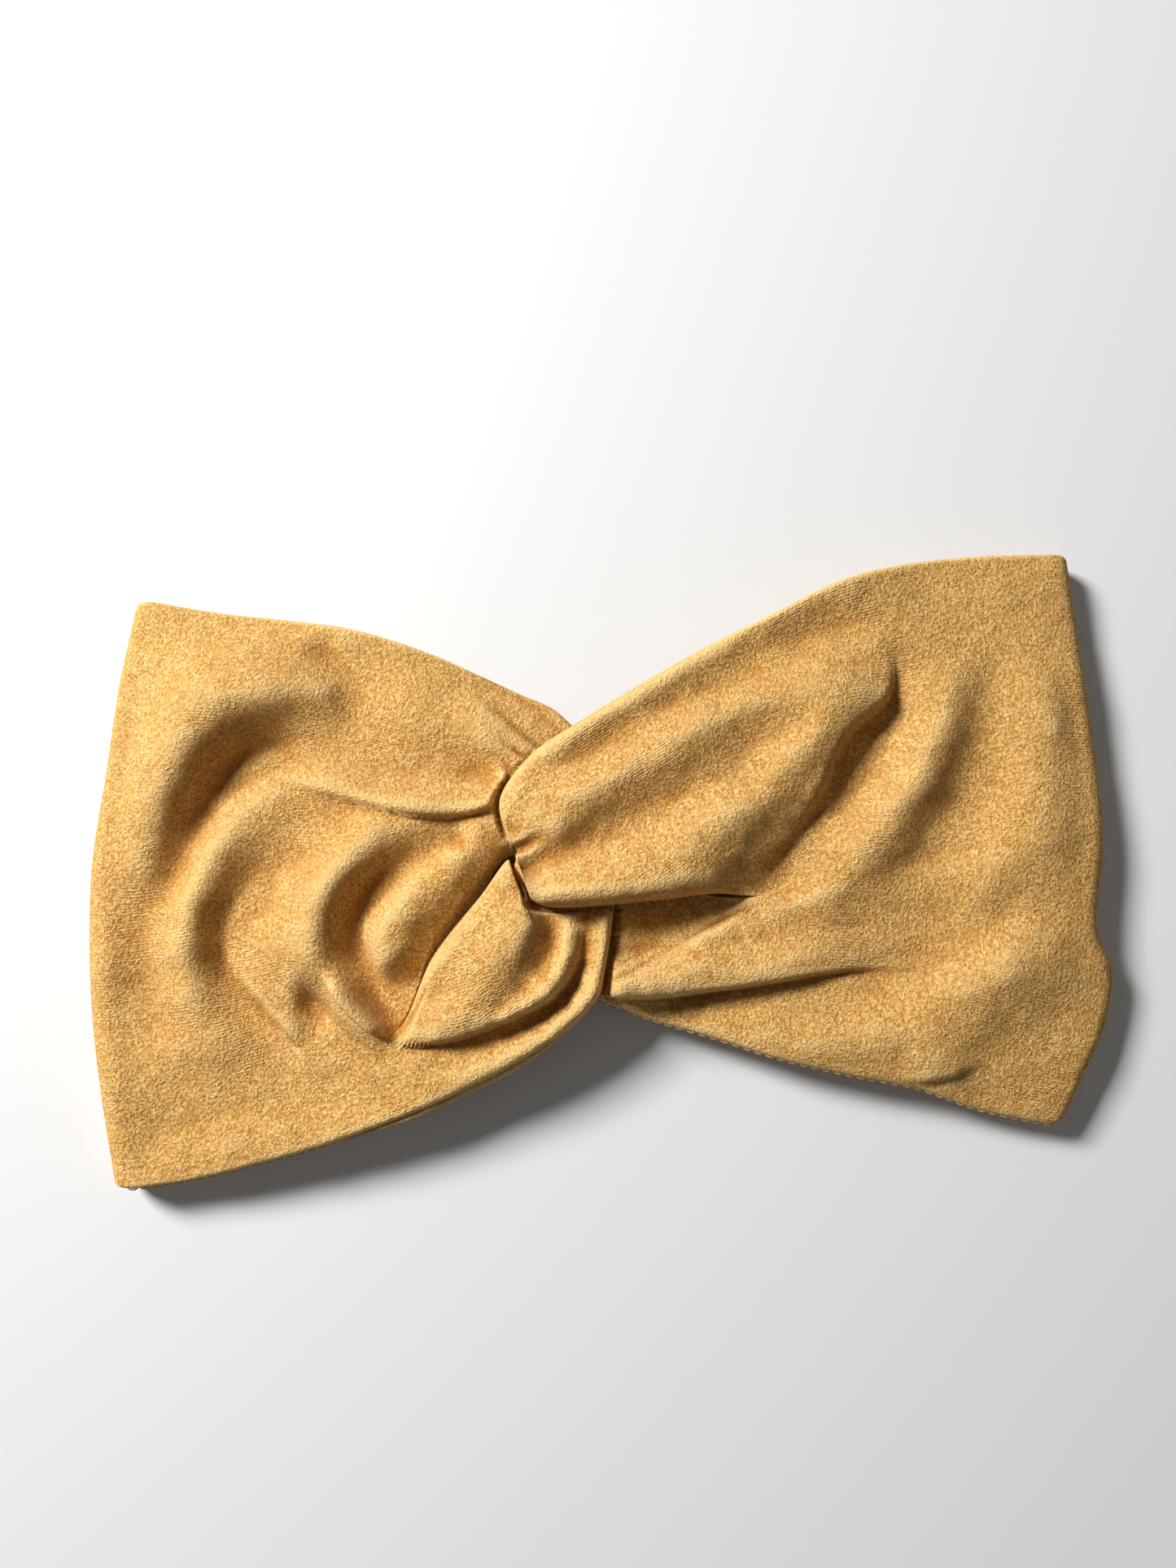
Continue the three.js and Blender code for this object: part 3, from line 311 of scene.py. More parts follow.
LEFT["rolls"] = [
    # brink of the plateau, round to the pit
    dict(leg=None, points=[(300, 1090), (282, 1120), (272, 1150), (273, 1180), (288, 1206), (312, 1232),
         (338, 1258), (360, 1278), (378, 1290)],
         height=1.6, radius=2.4, decay=14.0, side=1, fade_in=0.4, fade_out=0.15),
    # pit
    dict(leg=None, points=[(404, 1168), (397, 1200), (393, 1232), (398, 1268)],
         height=-2.2, radius=6.0, side=0, fade_in=0.6, fade_out=0.4),
    # brink of the narrow crest beside the pit
    dict(leg=None, points=[(396, 1194), (404, 1208), (418, 1226), (436, 1246), (455, 1264), (474, 1279)],
         height=1.8, radius=1.7, decay=5.0, side=1, fade_in=0.3, fade_out=0.2),
    # near side of the finger
    dict(leg="upper", points=[(540, 1056), (510, 1074), (480, 1094), (458, 1114), (447, 1136), (447, 1158),
         (457, 1182), (470, 1204), (480, 1222)],
         height=1.9, radius=3.0, decay=13.0, side=1, fade_in=0.35, fade_out=0.2),
    # long crease of the upper leg
    dict(leg="upper", points=[(326, 958), (350, 966), (400, 979), (450, 992), (500, 1003), (550, 1006),
         (590, 1001), (614, 990),
         (640, 976)], height=1.9, radius=1.6, decay=9.0, side=1, fade_in=0.4, fade_out=0.02),
    # small crease by the knot
    dict(leg="upper", points=[(548, 838), (580, 856), (612, 880), (640, 904), (670, 928), (700, 950)],
         height=1.3, radius=2.4, decay=12.0, side=-1, fade_in=0.6, fade_out=0.02),
    # smaller crease beneath it
    dict(leg="upper", points=[(612, 912), (636, 928), (660, 944), (690, 962)],
         height=-0.7, radius=1.2, side=0, fade_in=0.7, fade_out=0.02),
    # lower side of the lobe
    dict(leg="lower", points=[(474, 1272), (492, 1280), (520, 1283), (560, 1278), (600, 1265), (640, 1248),
         (674, 1232), (698, 1208), (712, 1180), (718, 1150), (720, 1124)],
         height=2.0, radius=2.0, decay=11.0, side=1, fade_in=0.12, fade_out=0.35),
]
RIGHT["levels"] = {
    "both": [
        # strip along the upper edge
        [(1280, 710, 0.6), (1200, 712, 0.7), (1120, 722, 0.8)],
        # panel ridge
        [(1172, 812, 1.6), (1180, 838, 2.6), (1165, 880, 3.4), (1142, 926, 3.7), (1114, 968, 3.7),
         (1082, 1010, 3.5), (1056, 1050, 3.0), (1038, 1090, 2.4), (1020, 1120, 2.0)],
        # valley beyond the panel ridge
        [(1216, 846, 1.1), (1204, 900, 1.0), (1184, 950, 1.0), (1156, 1000, 1.0), (1122, 1050, 1.0),
         (1090, 1096, 1.0), (1056, 1130, 1.0)],
        # rise towards the side fold
        [(1290, 830, 2.0), (1300, 880, 2.4), (1298, 950, 2.8), (1284, 1010, 3.1), (1258, 1064, 3.1),
         (1226, 1100, 2.6)],
        # rim beside the side fold
        [(1296, 760, 0.8), (1306, 820, 1.6), (1318, 900, 1.6), (1330, 980, 1.8), (1334, 1060, 2.0)],
        # soft valley that ends the long crease
        [(1140, 1180, 0.8), (1178, 1168, 1.0), (1212, 1146, 1.4), (1244, 1116, 2.0)],
        # bulge beneath it
        [(1150, 1225, 2.8), (1200, 1200, 3.4), (1250, 1170, 3.5), (1300, 1145, 3.0)],
        # falling towards the lower corner
        [(1170, 1290, 2.4), (1240, 1260, 2.2), (1300, 1220, 2.0), (1345, 1190, 1.6)],
        [(1200, 1345, 0.6), (1250, 1340, 1.0), (1290, 1320, 1.3), (1320, 1280, 1.4)],
    ],
    "upper": [
        # rolled upper edge
        [(700, 908, 2.9), (760, 873, 2.9), (820, 840, 2.8), (900, 797, 2.5), (980, 758, 2.1),
         (1050, 730, 1.7)],
        # shallow valley inside it
        [(680, 950, 2.0), (740, 912, 1.8), (800, 880, 1.8), (880, 838, 1.7), (960, 797, 1.4),
         (1020, 774, 1.1),
         (1090, 762, 1.0)],
        # shoulder of the tip
        [(638, 1060, 2.1), (662, 1044, 2.5), (690, 1024, 2.8)],
        # upper ridge
        [(636, 1020, 1.8), (664, 1006, 2.9), (700, 988, 3.6), (750, 961, 3.9), (800, 930, 3.9),
         (850, 904, 3.8),
         (900, 880, 3.5), (960, 850, 3.2), (1020, 818, 2.6), (1070, 795, 1.7)],
        # valley of the lobe
        [(634, 1076, 1.4), (654, 1066, 1.2), (677, 1052, 1.0), (704, 1038, 1.0), (742, 1020, 1.2),
         (790, 998, 1.3), (840, 972, 1.6),
         (890, 948, 1.9), (940, 918, 2.1), (980, 890, 2.0)],
        # lower ridge
        [(642, 1092, 2.2), (660, 1084, 2.7), (696, 1074, 3.0), (750, 1062, 3.2), (820, 1040, 3.4),
         (880, 1014, 3.8),
         (920, 990, 3.6), (960, 950, 3.2), (1000, 905, 2.6), (1040, 860, 2.0)],
        # brink of the drop
        [(900, 1076, 1.6), (930, 1040, 1.6), (962, 996, 1.6), (990, 955, 1.6), (1015, 915, 1.6),
         (1045, 876, 1.5)],
        # floor beyond the drop
        [(940, 1088, 0.4), (966, 1052, 0.3), (1000, 1010, 0.2), (1028, 974, 0.1), (1052, 938, 0.1),
         (1076, 900, 0.2), (1098, 862, 0.5), (1110, 818, 1.1)],
        # foot of the panel ridge
        [(1010, 1040, 0.8), (1038, 1002, 0.5), (1062, 966, 0.4), (1084, 930, 0.4), (1102, 894, 0.6),
         (1112, 856, 0.9)],
    ],
    "lower": [
        # hidden cloth under the knot
        [(652, 1094, 0), (660, 1112, 0), (676, 1140, 0), (694, 1170, 0)],
        # ridge and valley of the small triangle
        [(746, 1126, 1.3), (748, 1160, 1.4), (744, 1196, 1.2)],
        [(760, 1124, 1.5), (762, 1160, 1.5), (758, 1190, 1.2)],
        [(786, 1124, 0.6), (788, 1150, 0.6), (786, 1176, 0.5)],
        [(830, 1122, 0.2), (870, 1114, 0.1), (905, 1108, 0.1)],
        # panel between the two creases
        [(800, 1204, 1.0), (860, 1184, 1.2), (920, 1152, 1.4), (980, 1128, 1.4)],
        [(900, 1196, 0.8), (960, 1184, 0.8), (1020, 1170, 0.8), (1080, 1160, 0.8)],
        # ground below the long crease
        [(800, 1240, 0.3), (900, 1234, 0.2), (1000, 1222, 0.3), (1080, 1210, 0.5)],
        # lower strip
        [(820, 1250, 0.4), (900, 1262, 0.8), (980, 1268, 1.4), (1060, 1268, 2.2), (1130, 1260, 2.9)],
        [(900, 1280, 1.0), (1000, 1304, 1.1), (1100, 1318, 1.0)],
    ],
}
RIGHT["rolls"] = [
    # line where the small triangle goes under the panel
    dict(leg="lower", points=[(740, 1206), (770, 1194), (810, 1174), (850, 1150), (890, 1128), (926, 1106)],
         height=-0.7, radius=0.9, side=0, fade_in=0.12, fade_out=0.3),
    # notch at the tip of the crossing lobe
    dict(leg="upper", points=[(632, 1047), (645, 1042), (660, 1033), (678, 1022)],
         height=-1.0, radius=2.0, side=0, fade_in=0.02, fade_out=0.8),
    # drop of the crossing lobe to the panel
    dict(leg="upper", points=[(920, 1104), (944, 1072), (968, 1040), (992, 1010), (1014, 976), (1030, 946)],
         height=1.6, radius=5.0, decay=24.0, side=1, fade_in=0.4, fade_out=0.5),
    # pocket where that drop is deepest
    dict(leg="upper", points=[(982, 1024), (1004, 992), (1022, 958), (1032, 930), (1048, 904), (1072, 884),
         (1096, 862), (1102, 826), (1094, 786)],
         height=3.0, radius=2.4, decay=22.0, side=1, fade_in=0.35, fade_out=0.35),
    # edge of the small triangle
    dict(leg="lower", points=[(738, 1208), (770, 1196), (810, 1176), (850, 1152), (890, 1130), (928, 1108)],
         height=1.9, radius=0.9, decay=12.0, side=-1, fade_in=0.1, fade_out=0.4),
    # long crease of the lower leg
    dict(leg="lower", points=[(728, 1222), (770, 1227), (820, 1226), (880, 1219), (940, 1211), (1000, 1201),
         (1050, 1194), (1100, 1191), (1150, 1184)],
         height=3.0, radius=1.8, decay=10.0, side=1, fade_in=0.04, fade_out=0.6),
    # front layer over the lower corner
    dict(leg="lower", points=[(1100, 1326), (1135, 1327), (1168, 1322), (1198, 1311), (1226, 1297)],
         height=1.1, radius=2.0, decay=9.0, side=1, fade_in=0.3, fade_out=0.6),
]
for facts in (LEFT, RIGHT):
    print(facts["name"], {leg: len(lines) for leg, lines in facts["levels"].items()}, "level lines,",
          len(facts["rolls"]), "rolls")

# %% [markdown]
# ## A smooth curve through points
#
# A centripetal Catmull-Rom curve goes through every point that it is given and doesn't overshoot where
# the points stand close, which suits ribs that crowd together in the knot. It is worked out for all
# places at once with arrays, because a sheet needs tens of thousands of them.

# %% Curves


def smooth(share):
    """Rises from 0 to 1 with level ends."""
    share = np.clip(share, 0.0, 1.0)
    return share * share * (3 - 2 * share)


def curve(points, places):
    """Places along a centripetal Catmull-Rom curve; place n is the n-th point."""
    points = np.asarray(points, float)
    before, after = 2 * points[0] - points[1], 2 * points[-1] - points[-2]
    held = np.vstack([before, points, after])
    places = np.asarray(places, float)
    first = np.clip(np.floor(places).astype(int), 0, len(points) - 2)
    share = places - first
    p0, p1, p2, p3 = (held[first + n] for n in range(4))
    pairs = ((p0, p1), (p1, p2), (p2, p3))
    gap = [np.maximum(np.linalg.norm(b - a, axis=1) ** 0.5, 1e-4) for a, b in pairs]
    g0, g1, g2 = (g[:, None] for g in gap)
    leave = ((p1 - p0) / g0 - (p2 - p0) / (g0 + g1) + (p2 - p1) / g1) * g1
    reach = ((p2 - p1) / g1 - (p3 - p1) / (g1 + g2) + (p3 - p2) / g2) * g1
    s = share[:, None]
    return (
        p1 * (2 * s**3 - 3 * s**2 + 1) + leave * (s**3 - 2 * s**2 + s)
        + p2 * (3 * s**2 - 2 * s**3) + reach * (s**3 - s**2)
    )


def beside(line, x, y):
    """Distance from a line in plan, the length along it, its whole length, and whether left of it."""
    lengths = np.concatenate([[0], np.cumsum(np.linalg.norm(np.diff(line, axis=0), axis=1))])
    nearest, place, on_left = np.full(x.shape, np.inf), np.zeros(x.shape), np.zeros(x.shape, bool)
    for n in range(1, len(line)):
        (ax, ay), (dx, dy) = line[n - 1], line[n] - line[n - 1]
        px, py = x - ax, y - ay
        share = np.clip((px * dx + py * dy) / (dx * dx + dy * dy), 0, 1)
        distance = np.hypot(px - share * dx, py - share * dy)
        closer = distance < nearest
        nearest = np.where(closer, distance, nearest)
        place = np.where(closer, lengths[n - 1] + share * (lengths[n] - lengths[n - 1]), place)
        on_left = np.where(closer, dx * py - dy * px > 0, on_left)
    return nearest, place, lengths[-1], on_left


def rounded(distance, radius):
    """The height of a quarter circle at a distance from its foot, as a share of its radius."""
    return np.sqrt(np.clip(1 - (1 - np.clip(distance / radius, 0, 1)) ** 2, 0, 1))


print("halfway up a step the curve passes", np.round(curve([(0, 0), (1, 0), (2, 1), (3, 1)], [1.5])[0], 3))

# %% [markdown]
# ## Letting the cloth find its way
#
# A thin plate that has to pass through given points takes the shape with the least bending. Cloth does
# much the same, so its folds come out rounded on the crests and hollow in the valleys. The shape is a sum
# of one simple function a point, and the weights come from one set of linear equations.

# %% Relief
PLATE_EASE, LINE_STEP, SPOTS_PER_POINT = 0.15, 4.0, 8


class Relief:
    """Heights of the folds on one leg of a band."""

    def __init__(self, lines, rolls, surface):
        points = []
        for line in lines:
            rises = [(u, v, h * FOLD_RISE) for u, v, h in line]
            spots = np.array([self.placed(u, v, rise, surface) + (rise,) for u, v, rise in rises])
            length = np.linalg.norm(np.diff(spots[:, :2], axis=0), axis=1).sum()
            points.append(curve(spots, np.linspace(0, len(spots) - 1, max(2, int(length / LINE_STEP)))))
        points = np.vstack(points)
        self.spots, heights, count = points[:, :2], points[:, 2], len(points)
        plane = np.hstack([np.ones((count, 1)), self.spots])
        system = np.zeros((count + 3, count + 3))
        system[:count, :count] = self.bend(self.spots) + PLATE_EASE * np.eye(count)
        system[:count, count:], system[count:, :count] = plane, plane.T
        self.weights = np.linalg.solve(system, np.concatenate([heights, np.zeros(3)]))
        self.rolls = []
        for one in rolls:
            rise = one["height"] * FOLD_RISE
            spots = np.array([self.placed(u, v, rise, surface) for u, v in one["points"]])
            places = np.linspace(0, len(spots) - 1, SPOTS_PER_POINT * len(spots))
            self.rolls.append((one, curve(spots, places)))

    @staticmethod
    def placed(u, v, height, surface):
        """Where a pixel's spot lies in plan, once the cloth's own height there is known."""
        x, y = plan(u, v, LOWEST + HALF)
        near = surface[np.argmin((surface[:, 0] - x) ** 2 + (surface[:, 1] - y) ** 2)]
        return tuple(plan(u, v, near[2] + HALF + height))

    def bend(self, places):
        square = ((places[:, None, :] - self.spots[None, :, :]) ** 2).sum(axis=2)
        return 0.5 * square * np.log(np.maximum(square, 1e-9))

    def at(self, x, y):
        places = np.stack([x.ravel(), y.ravel()], axis=1)
        total = np.concatenate([
            self.bend(part) @ self.weights[:-3] + self.weights[-3] + part @ self.weights[-2:]
            for part in np.array_split(places, 24)
        ]).reshape(x.shape)
        for one, line in self.rolls:
            distance, place, length, on_left = beside(line, x, y)
            if one["side"]:
                inside = np.where(on_left == (one["side"] > 0), distance, 0.0)
                fall = smooth((inside - one["radius"]) / one["decay"])
                across = rounded(inside, one["radius"]) * (1 - fall)
            else:
                across = np.clip(1 - (distance / one["radius"]) ** 2, 0, 1) ** 2
            start = smooth(place / (one["fade_in"] * length))
            ends = start * smooth((length - place) / (one["fade_out"] * length))
            total = total + one["height"] * FOLD_RISE * across * ends
        return total


# %% [markdown]
# ## The middle surface of a band
#
# A ply is a grid that follows the band, so that rows of the mesh run along the cloth as its wales do. The
# rows crowd towards the edges, where the sheet rounds over to meet the other ply. Folds are raised only
# as far as the other band leaves room: cloth that passes beneath it is held down, and past the other's
# edge it may climb again at ROOM_SLOPE. Small swells keep the open cloth from lying dead flat.

# %% The middle surface
STEPS_PER_RIB, ROWS, EDGE_ROWS = 14, 108, 5
EDGE_REACH = 5.0
SWELLS = ((1, 27.0, 0.30), (2, 11.0, 0.14), (3, 5.0, 0.07))
ROOM_SLOPE, ROOM_MARGIN, ROOM_PART = 4.5, 3, 400
WELD_MARGIN_PIXELS = -18


def unevenness(x, y):
    """Slight swells all over the cloth, broad ones and small ones, in mm, always the same."""
    total = np.zeros(x.shape)
    for seed, length, height in SWELLS:
        waves = np.random.default_rng(seed).uniform(0, 2 * math.pi, (7, 2))
        for turn, phase in waves:
            ahead = x * math.cos(turn) + y * math.sin(turn)
            total += height / 7 ** 0.5 * np.sin(2 * math.pi / length * ahead + phase)
    return total


class Band:
    """The middle surface of one doubled band, and the lift of its folds."""

    def __init__(self, facts):
        self.facts, self.side = facts, facts["side"]
        self.stations = (len(facts["ribs"]) - 1) * STEPS_PER_RIB
        self.welded = (facts["welded"] - 1) * STEPS_PER_RIB
        self.bend = facts["bend"] * STEPS_PER_RIB
        places = np.linspace(0, len(facts["ribs"]) - 1, self.stations + 1)
        ends = [[], []]
        for rib in facts["ribs"]:
            for end in (0, 1):
                u, v, level = rib[3 * end:3 * end + 3]
                z = LOWEST + level * LEVEL_STEP
                ends[end].append((*plan(u, v, z), z))
        self.outer, self.inner = curve(ends[0], places), curve(ends[1], places)
        self.width = np.linalg.norm(self.outer - self.inner, axis=1)
        line = [plan(u, v, OUTLINE_HEIGHT) for u, v in facts["side_fold"]]
        line = curve(line, np.linspace(0, len(line) - 1, 600))
        order = np.argsort(line[:, 1])
        self.fold_y, self.fold_x = line[order, 1], line[order, 0]
        self.share = self.shares()
        self.smooth_points = self.middle(self.share)

    def shares(self):
        """Row places on each rib: crowded within an edge's rounding, even between."""
        angles = np.linspace(0, math.pi / 2, EDGE_ROWS + 1)
        near = HALF * (1 - np.cos(angles))
        even = np.linspace(0, 1, ROWS - 2 * EDGE_ROWS + 1)[1:-1]
        edge = near[None, :] / self.width[:, None]
        middle = edge[:, -1:] + (1 - 2 * edge[:, -1:]) * even[None, :]
        return np.hstack([edge, middle, 1 - edge[:, ::-1]])

    def middle(self, share):
        """Middle surface at row places, with the legs' ends pulled onto the side fold."""
        station = np.arange(self.stations + 1)
        from_fold = np.minimum(station, self.stations - station)
        near = (1 - smooth(from_fold / self.welded))[:, None]
        s = share[..., None]
        points = self.outer[:, None] * (1 - s) + self.inner[:, None] * s
        first = station < self.bend
        end_outer = np.where(first[:, None], self.outer[0], self.outer[-1])[:, None]
        end_inner = np.where(first[:, None], self.inner[0], self.inner[-1])[:, None]
        ends = end_outer * (1 - s) + end_inner * s
        radius = (ends[..., 2] + HALF) / 2
        fold_x = np.interp(ends[..., 1], self.fold_y, self.fold_x)
        points[..., 0] += near * (fold_x - self.side * radius - ends[..., 0])
        return points

    def fold(self, other):
        """Raises the folds, as far as the other band leaves room."""
        points = self.smooth_points.copy()
        lift = np.minimum(self.lift(self.share, points), self.room(points, other.smooth_points))
        station = np.arange(self.stations + 1)
        from_fold = np.minimum(station, self.stations - station)
        near = (1 - smooth(from_fold / self.welded))[:, None]
        raised = np.where((station < self.bend)[:, None], lift[:1], lift[-1:]) / 2
        seen = raised * (1 + BAND_LENGTH / 2 / SIGHT_HEIGHT)
        points[..., 0] -= near * self.side * seen
        points[..., 2] += lift
        self.points = points

    def crests(self):
        """How the folds bend the sheet: 0.5 where flat, up to 1 on a sharp crest, down to 0 in a crease."""
        height = self.points[..., 2]
        steps = np.linalg.norm(np.diff(self.points, axis=0), axis=2).clip(0.05)
        rows = np.linalg.norm(np.diff(self.points, axis=1), axis=2).clip(0.05)
        along, over = np.diff(height, axis=0) / steps, np.diff(height, axis=1) / rows
        bend = np.zeros(height.shape)
        bend[1:-1] -= np.diff(along, axis=0) / ((steps[1:] + steps[:-1]) / 2)
        bend[:, 1:-1] -= np.diff(over, axis=1) / ((rows[:, 1:] + rows[:, :-1]) / 2)
        for _ in range(3):
            bend[1:-1] = (bend[:-2] + 2 * bend[1:-1] + bend[2:]) / 4
            bend[:, 1:-1] = (bend[:, :-2] + 2 * bend[:, 1:-1] + bend[:, 2:]) / 4
        return 0.5 + 0.5 * np.tanh(bend / 0.25)

    def cloth_places(self):
        """Millimetres along the cloth from the side fold, and across it from the upper edge."""
        points, half = self.points, self.bend
        steps = np.linalg.norm(np.diff(points, axis=0), axis=2)
        along = np.zeros(points.shape[:2])
        along[1:half] = np.cumsum(steps[:half - 1], axis=0)
        along[half:-1] = np.cumsum(steps[:half - 1:-1], axis=0)[::-1]
        steps = np.linalg.norm(np.diff(points, axis=1), axis=2)
        across = np.hstack([np.zeros((len(points), 1)), np.cumsum(steps, axis=1)])
        across[half:] = across[0, -1] + across[-1, -1] - across[half:]
        return along, across

    @staticmethod
    def room(points, above):
        """How far each point may rise before it meets the other band's smooth surface above it."""
        above = above[::2].reshape(-1, 3)
        low = np.maximum(points.min(axis=(0, 1)), above.min(axis=0))[:2] - ROOM_MARGIN
        high = np.minimum(points.max(axis=(0, 1)), above.max(axis=0))[:2] + ROOM_MARGIN
        above = above[((above[:, :2] > low) & (above[:, :2] < high)).all(axis=1)]
        near = ((points[..., :2] > low) & (points[..., :2] < high)).all(axis=-1)
        spots = points[near]
        rooms = np.full(len(spots), np.inf)
        for part in np.array_split(above, 1 + len(above) // ROOM_PART):
            aside, onward, gap = (part[None, :, n] - spots[:, None, n] for n in range(3))
            past = np.hypot(aside, onward)
            limit = np.maximum(gap - DOUBLED - PLY_GAP, 0) + ROOM_SLOPE * np.maximum(past - CLOTH, 0)
            rooms = np.minimum(rooms, np.where(gap > CLOTH, limit, np.inf).min(axis=1))
        room = np.full(points.shape[:2], np.inf)
        room[near] = rooms
        return room

    def lift(self, share, points):
        """Height of the folds at each point, rounded off towards free edges."""
        half = self.bend
        facts, flat = self.facts, points.reshape(-1, 3)
        cut = points.shape[1] * (half + 1)
        surfaces = {"upper": flat[:cut], "lower": flat[cut:]}
        lines = facts["levels"]
        reliefs = {}
        for leg, surface in surfaces.items():
            rolls = [roll for roll in facts["rolls"] if roll["leg"] in (leg, None)]
            reliefs[leg] = Relief(lines["both"] + lines[leg], rolls, surface)
        slit_end = facts["ribs"][facts["welded"] - 1][3]
        near_weld = [
            [p for p in line if self.side * (p[0] - slit_end) > WELD_MARGIN_PIXELS]
            for line in lines["upper"] + lines["lower"]
        ]
        near_weld = lines["both"] + [line for line in near_weld if len(line) > 1]
        joint = Relief(near_weld, [r for r in facts["rolls"] if not r["leg"]], flat)
        station = np.arange(self.stations + 1)
        from_fold = np.minimum(station, self.stations - station)
        from_weld = (from_fold - self.welded)[:, None]
        width = self.width[:, None]
        x, y = points[..., 0], points[..., 1]
        cuts = {"upper": slice(None, half), "lower": slice(half, None)}
        own = np.vstack([reliefs[leg].at(x[cut], y[cut]) for leg, cut in cuts.items()])
        both = joint.at(x, y)
        past_edge = smooth((1 - share) * width / EDGE_REACH)
        on_leg = np.maximum(smooth(from_weld / STEPS_PER_RIB), past_edge)
        total = np.maximum(both + (own - both) * on_leg + unevenness(x, y), 0)
        in_knot = smooth((from_fold - self.welded) / (1.5 * STEPS_PER_RIB))[:, None]
        hold_outer = 0.35 + 0.65 * in_knot
        hold_inner = smooth(from_weld / (0.5 * STEPS_PER_RIB))
        outer = 1 - hold_outer * (1 - rounded(share * width, EDGE_REACH))
        inner = 1 - hold_inner * (1 - rounded((1 - share) * width, EDGE_REACH))
        return total * outer * inner


bands = {facts["name"]: Band(facts) for facts in (LEFT, RIGHT)}
bands["left_band"].fold(bands["right_band"])
bands["right_band"].fold(bands["left_band"])
for name, band in bands.items():
    print(name, "rises to", round(band.points[..., 2].max(), 1), "mm at its middle surface")

# %% [markdown]
# ## The two faces of a ply
#
# Each face lies a little over or under the middle surface and rounds into its edge. Along the lower left
# edge the lining creeps out from under the outer ply, which is the doubled edge that shows there.

# %% Faces of a ply
CREEP, CREEP_REACH, CREEP_RIBS = 1.3, 9, (13, 18.5)


def ply(band, above, below):
    """One ply's two faces: above and below are their heights on the middle surface."""
    share, points = band.share, band.points
    station = np.arange(band.stations + 1)
    from_weld = np.minimum(station, band.stations - station) - band.welded
    open_slit = smooth(from_weld / (0.5 * STEPS_PER_RIB))[:, None]
    width = band.width[:, None]
    round_outer = rounded(share * width, HALF)
    round_inner = 1 - open_slit * (1 - rounded((1 - share) * width, HALF))
    rim = round_outer * round_inner
    rib = station / STEPS_PER_RIB
    creep = CREEP * (above < 0) * (band.side < 0) * smooth((rib - CREEP_RIBS[0]) / 2)
    creep = creep * smooth((CREEP_RIBS[1] - rib) / 2)
    outward = points[:, :1, :2] - points[:, 4:5, :2]
    outward = outward / np.linalg.norm(outward, axis=2, keepdims=True)
    faces = []
    for level in (above, below):
        face = points.copy()
        face[..., :2] += outward * (creep[:, None] * (1 - smooth(share * width / CREEP_REACH)))[..., None]
        face[..., 2] += level * rim
        faces.append(face)
    return faces, rim


# %% [markdown]
# ## A ply as a closed mesh
#
# The front grid goes on round the side fold on a half circle and then runs flat along the back, where it
# gathers towards the seam. The two faces are then closed by walls along every open edge. Two facts travel
# with the mesh for the finish: how far along and across the cloth each point lies, and how sharply the
# folds bend it.

# %% Closed meshes
FOLD_STEPS, BACK_STEPS = 14, 44
SEAM_X, SEAM_GAP, SEAM_UPPER, SEAM_LOWER = -2.0, 0.6, 30.0, -22.0
GATHER_PITCH, GATHER_RISE, GATHER_DRIFT = 5.5, 0.5, 4


